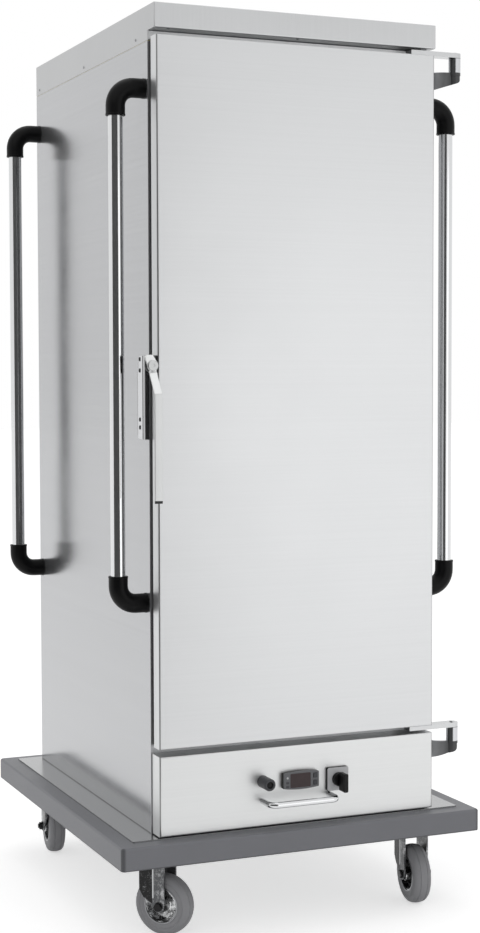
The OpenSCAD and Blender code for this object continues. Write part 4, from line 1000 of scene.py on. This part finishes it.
class TRAYCART_OT_latch(Operator):
    """Build the latch: wall bracket, pivot bolt and cranked lever"""
    bl_idname = "traycart.latch"
    bl_label = "Latch"

    def execute(self, context):
        press = context.scene.traycart_sizes.press_edge / MM
        low, high = span("latch_bracket")
        pivot = joint("latch_turn")["pos_m"]
        px, pz = pivot[0] / MM, pivot[2] / MM
        wall, sheet = -wall_x(), 3.0
        front = span("front_frame")[0][1]
        # Drawn in Y and Z: a plate with a round lower corner, narrower over its top fifth
        step = high[2] - 0.19 * (high[2] - low[2])
        rear, foot, top = high[1], low[2], high[2]
        outline = [(front, foot), (rear - 8, foot), (rear - 2.3, foot + 2.3), (rear, foot + 8), (rear, step),
                   (rear - 9, step), (rear - 9, top - 3), (rear - 12, top), (front, top)]
        bracket = Piece("latch_wall_bracket")
        bracket.add(cut_out(outline, sheet, press * 0.5, 1), moved(x=wall - sheet), FROM_THE_SIDE)
        bracket.add(block((wall - 7, wall - sheet + 0.5), (front + 3, high[1] - 29), (low[2], high[2]), 0.8))
        bracket.add(block((wall - sheet, wall), (low[1], front + 3), (pz - 14, high[2]), 0.7))
        bracket.add(block((low[0], wall), (low[1], low[1] + sheet), (pz, high[2]), 0.7))
        bracket.at_front(disc(28, sheet, 0.6), px, low[1] + sheet, pz)
        bracket.done("latch_plate_steel", "cart", "bright_steel", ["latch_bracket"])

        rounded_node("latch_hand_lever", "latch_lever", "lever_steel_capped", "latch", "bright_steel", press,
                     segments=3, angle=14)

        low, high = span("latch_bolt")
        x, _, z = middle(low, high)
        head = 3.0
        dome = [(0, 0), (9, 0), (10, 0.7), (10, 2.2), (9.2, head), (3.2, head), (2.8, 2.2), (0, 2.2)]
        bolt = Piece("latch_pivot_bolt").at_front(lathe(dome), x, low[1] + head, z)
        bolt.at_front(disc(8, high[1] - low[1] - 2), x, high[1], z)
        bolt.at_front(hexagon(12, 5), x, high[1] - 2, z)
        bolt.done("pivot_steel", "cart", "bright_steel", ["latch_bolt"])
        return {"FINISHED"}


class TRAYCART_OT_controls(Operator):
    """Build the controller, rotary switch and push button on the drawer front"""
    bl_idname = "traycart.controls"
    bl_label = "Controls"

    def execute(self, context):
        face_y = span("drawer_front")[0][1]
        rounded_node("controller_bezel", "controller", "bezel_plastic", "drawer", "control_grey", 1.0,
                     segments=3, angle=40)
        # What stands on the bezel: the window, and a lamp over two pads to its left
        low, high = span("controller")
        (x, _, z), front, left = middle(low, high), low[1], 30.0
        for name, shape, finish, along, out, up in (
                ("controller_window", round_plate(44, 28, 2.0, 0.9, 0.3), "display_glass", 2.0, 0.6, 0.0),
                ("controller_lamp", disc(4.4, 0.9, 0.4, 20), "lamp_lens", left, 0.5, 6.0)):
            Piece(name).at_front(shape, x - along, front + out, z + up).done(finish, "drawer", "control_grey")
        pads = Piece("controller_pads")
        for up in (-3.5, -11):
            pads.at_front(round_plate(7, 4.4, 1.2, 0.8, 0.3), x - left, front + 0.5, z + up)
        pads.done("key_plastic", "drawer", "control_grey")
        for key in ("key_up", "key_down"):
            rounded_node("controller_" + key, key, "key_plastic", key, "control_grey", 0.8)

        low, high = span("switch_plate")
        x, _, z = middle(low, high)
        width, height, body = high[0] - low[0], high[2] - low[2], 33.0
        face, overlap = 2.4, 0.2
        base = Piece("switch_base")
        base.at_front(round_plate(width, height, 4, face_y - low[1] - face + overlap, 0.8), x, face_y, z)
        base.at_front(disc(22, body), x, face_y + body, z)
        base.done("black_plastic", "drawer", "black_plastic", ["switch_plate"])
        plate = Piece("switch_face_plate")
        plate.at_front(round_plate(width - 1.2, height - 1.2, 3.6, face, 0.7), x, low[1] + face, z)
        plate.done("switch_plastic", "drawer", "switch_face")

        knob_back = low[1] - 0.3
        low, high = span("switch_knob")
        knob = Piece("switch_grip_knob")
        knob.at_front(disc(27, 11, 1.5), x, knob_back, z)
        knob.at_front(disc(8, 14), x, knob_back + 13.5, z)
        grip = round_plate(9.6, high[2] - low[2] - 1, 3, 24, 1.2, 3)
        knob.at_front(grip, x, knob_back - 12.3, middle(low, high)[2])
        knob.done("black_plastic", "knob", "black_plastic", ["switch_knob"])

        low, high = span("button_collar")
        x, _, z = middle(low, high)
        bore, r, end, body = 7.05, 12.0, face_y - low[1], 25.0
        profile = [(bore, 2), (bore, end), (9.6, end), (10.4, end - 1.0), (11.4, end - 1.4), (r, end - 3),
                   (r, 4.2), (r - 0.5, 3.7), (r - 0.5, 3.0), (r, 2.5), (r, 0), (bore, 0)]
        collar = Piece("button_round_collar").at_front(lathe(profile), x, face_y, z)
        collar.at_front(disc(16, body), x, face_y + body, z)
        collar.done("key_plastic", "drawer", "control_grey", ["button_collar"])
        low, high = span("push_button")
        end = high[1] - low[1]
        profile = [(0, 0), (7, 0), (7, end - 2.2), (6.4, end - 1.1), (4.6, end - 0.4), (2.4, end - 0.1),
                   (0, end)]
        button = Piece("push_button_cap").at_front(lathe(profile, 40), x, high[1], z)
        button.done("black_plastic", "button", "black_plastic", ["push_button"])

        rounded_node("inlet_socket", "power_inlet", "black_plastic", "cart", "black_plastic", 0.8)
        return {"FINISHED"}


class TRAYCART_OT_stage(Operator):
    """Set up the white floor, the soft lights and the camera"""
    bl_idname = "traycart.stage"
    bl_label = "Stage"

    def execute(self, context):
        scene = context.scene
        scene.view_settings.view_transform = "Standard"

        # The camera as it was fitted to the photo
        yaw, pitch, roll = math.radians(23.113), math.radians(-3.032), math.radians(-0.138)
        ahead = Vector((math.sin(yaw) * math.cos(pitch), math.cos(yaw) * math.cos(pitch), math.sin(pitch)))
        right = Vector((math.cos(yaw), -math.sin(yaw), 0))
        up = right.cross(ahead)
        across = right * math.cos(roll) + up * math.sin(roll)
        upward = up * math.cos(roll) - right * math.sin(roll)
        turn = Matrix((across, upward, -ahead)).transposed().to_4x4()
        camera = bpy.data.cameras.new("camera")
        camera.lens = 67.556
        camera.sensor_width = 36.0
        camera.clip_end = 100.0
        holder = bpy.data.objects.new("camera", camera)
        holder.matrix_world = moved(-1.4504, -3.4800, 1.0942) @ turn
        scene.collection.objects.link(holder)
        scene.camera = holder

        white_floor()
        card("floor", 60.0, 60.0, Matrix.Identity(4), "studio_floor")
        f = Finish("front_left_flag", roughness=0.95, Specular_IOR_Level=0.0)
        f.set(Base_Color=f.tone((0.15, 0.15, 0.15), f.noise(60.0, detail=2.0) * 0.2))
        place = moved(-1.2, -1.535, 1.04) @ turned(-32.7) @ turned(90, "X")
        flag = card("front_left_flag", 3.09, 2.05, place, "front_left_flag")
        # A dark board beside the cart that only polished metal shows
        flag.visible_camera = flag.visible_diffuse = flag.visible_shadow = False

        # A white world, brighter where it is seen than where it lights
        scene.world = bpy.data.worlds.new("studio")
        world = Nodes(scene.world)
        level = world.seen_directly() * 0.4 + 0.6
        back = world.node("ShaderNodeBackground", {}, {"Color": (1, 1, 1), "Strength": level})
        world.node("ShaderNodeOutputWorld", {}, {0: back.outputs[0]})

        for name, place, aim, size, power in (
                ("key", (-2.6, -3.6, 3.0), (0, 0, 0.9), 2.6, 11.0),
                ("front_fill", (1.8, -4.2, 1.0), (0, 0, 0.8), 2.0, 6.5),
                ("top", (0.2, 0.3, 4.2), (0, 0, 0), 3.2, 18.0)):
            light = bpy.data.lights.new(name, "AREA")
            light.shape = "SQUARE"
            light.size = size
            light.energy = power
            lamp = bpy.data.objects.new(name, light)
            lamp.location = place
            lamp.rotation_euler = (Vector(aim) - Vector(place)).to_track_quat("-Z", "Y").to_euler()
            scene.collection.objects.link(lamp)
        return {"FINISHED"}


def card(name, width, height, place, finish):
    """A flat piece of the stage, sized in metres and set in its place."""
    bm = bmesh.new()
    bmesh.ops.create_grid(bm, x_segments=1, y_segments=1, size=0.5)
    bmesh.ops.scale(bm, vec=(width, height, 1), verts=bm.verts)
    bmesh.ops.transform(bm, matrix=place, verts=bm.verts)
    mesh = bpy.data.meshes.new(name)
    bm.to_mesh(mesh)
    bm.free()
    mesh.materials.append(finishes[finish])
    obj = bpy.data.objects.new(name, mesh)
    bpy.context.scene.collection.objects.link(obj)
    obj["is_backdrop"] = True
    return obj


def white_floor():
    """White studio floor that keeps the cart's soft shadow."""
    f = Finish("studio_floor", roughness=0.9, Specular_IOR_Level=0.1)
    cloud = f.noise(1.5, detail=2.0)
    f.set(Base_Color=f.tone((0.88, 0.88, 0.88), cloud * 0.01))
    glow = f.node("ShaderNodeEmission", {}, {"Color": (1, 1, 1), "Strength": f.seen_directly() * 0.56})
    total = f.node("ShaderNodeAddShader", {}, {0: f.shader.outputs[0], 1: glow.outputs[0]})
    f.plug(f.output.inputs[0], total.outputs[0])


class TRAYCART_PT_panel(Panel):
    bl_idname = "TRAYCART_PT_panel"
    bl_label = "Tray Cart"
    bl_space_type = "VIEW_3D"
    bl_region_type = "UI"
    bl_category = "Tray Cart"

    def draw(self, context):
        layout = self.layout
        for operator in OPERATORS:
            layout.operator(operator.bl_idname)
        for group in (context.scene.traycart_sizes, context.scene.traycart_colours):
            box = layout.box()
            for name in group.__annotations__:
                box.prop(group, name)


OPERATORS = (TRAYCART_OT_finishes, TRAYCART_OT_stage, TRAYCART_OT_platform, TRAYCART_OT_casters,
             TRAYCART_OT_cabinet, TRAYCART_OT_door, TRAYCART_OT_drawer, TRAYCART_OT_handles,
             TRAYCART_OT_hinges, TRAYCART_OT_latch, TRAYCART_OT_controls)
CLASSES = (TRAYCART_PG_sizes, TRAYCART_PG_colours) + OPERATORS + (TRAYCART_PT_panel,)


def register():
    for cls in CLASSES:
        bpy.utils.register_class(cls)
    bpy.types.Scene.traycart_sizes = PointerProperty(type=TRAYCART_PG_sizes)
    bpy.types.Scene.traycart_colours = PointerProperty(type=TRAYCART_PG_colours)


def unregister():
    del bpy.types.Scene.traycart_colours
    del bpy.types.Scene.traycart_sizes
    for cls in reversed(CLASSES):
        bpy.utils.unregister_class(cls)


def main():
    register()
    for operator in OPERATORS:
        group, name = operator.bl_idname.split(".")
        getattr(getattr(bpy.ops, group), name)()
    {"cad": CAD_BOX, "visual": [list(corner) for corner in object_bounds()]}


if __name__ == "__main__":
    main()
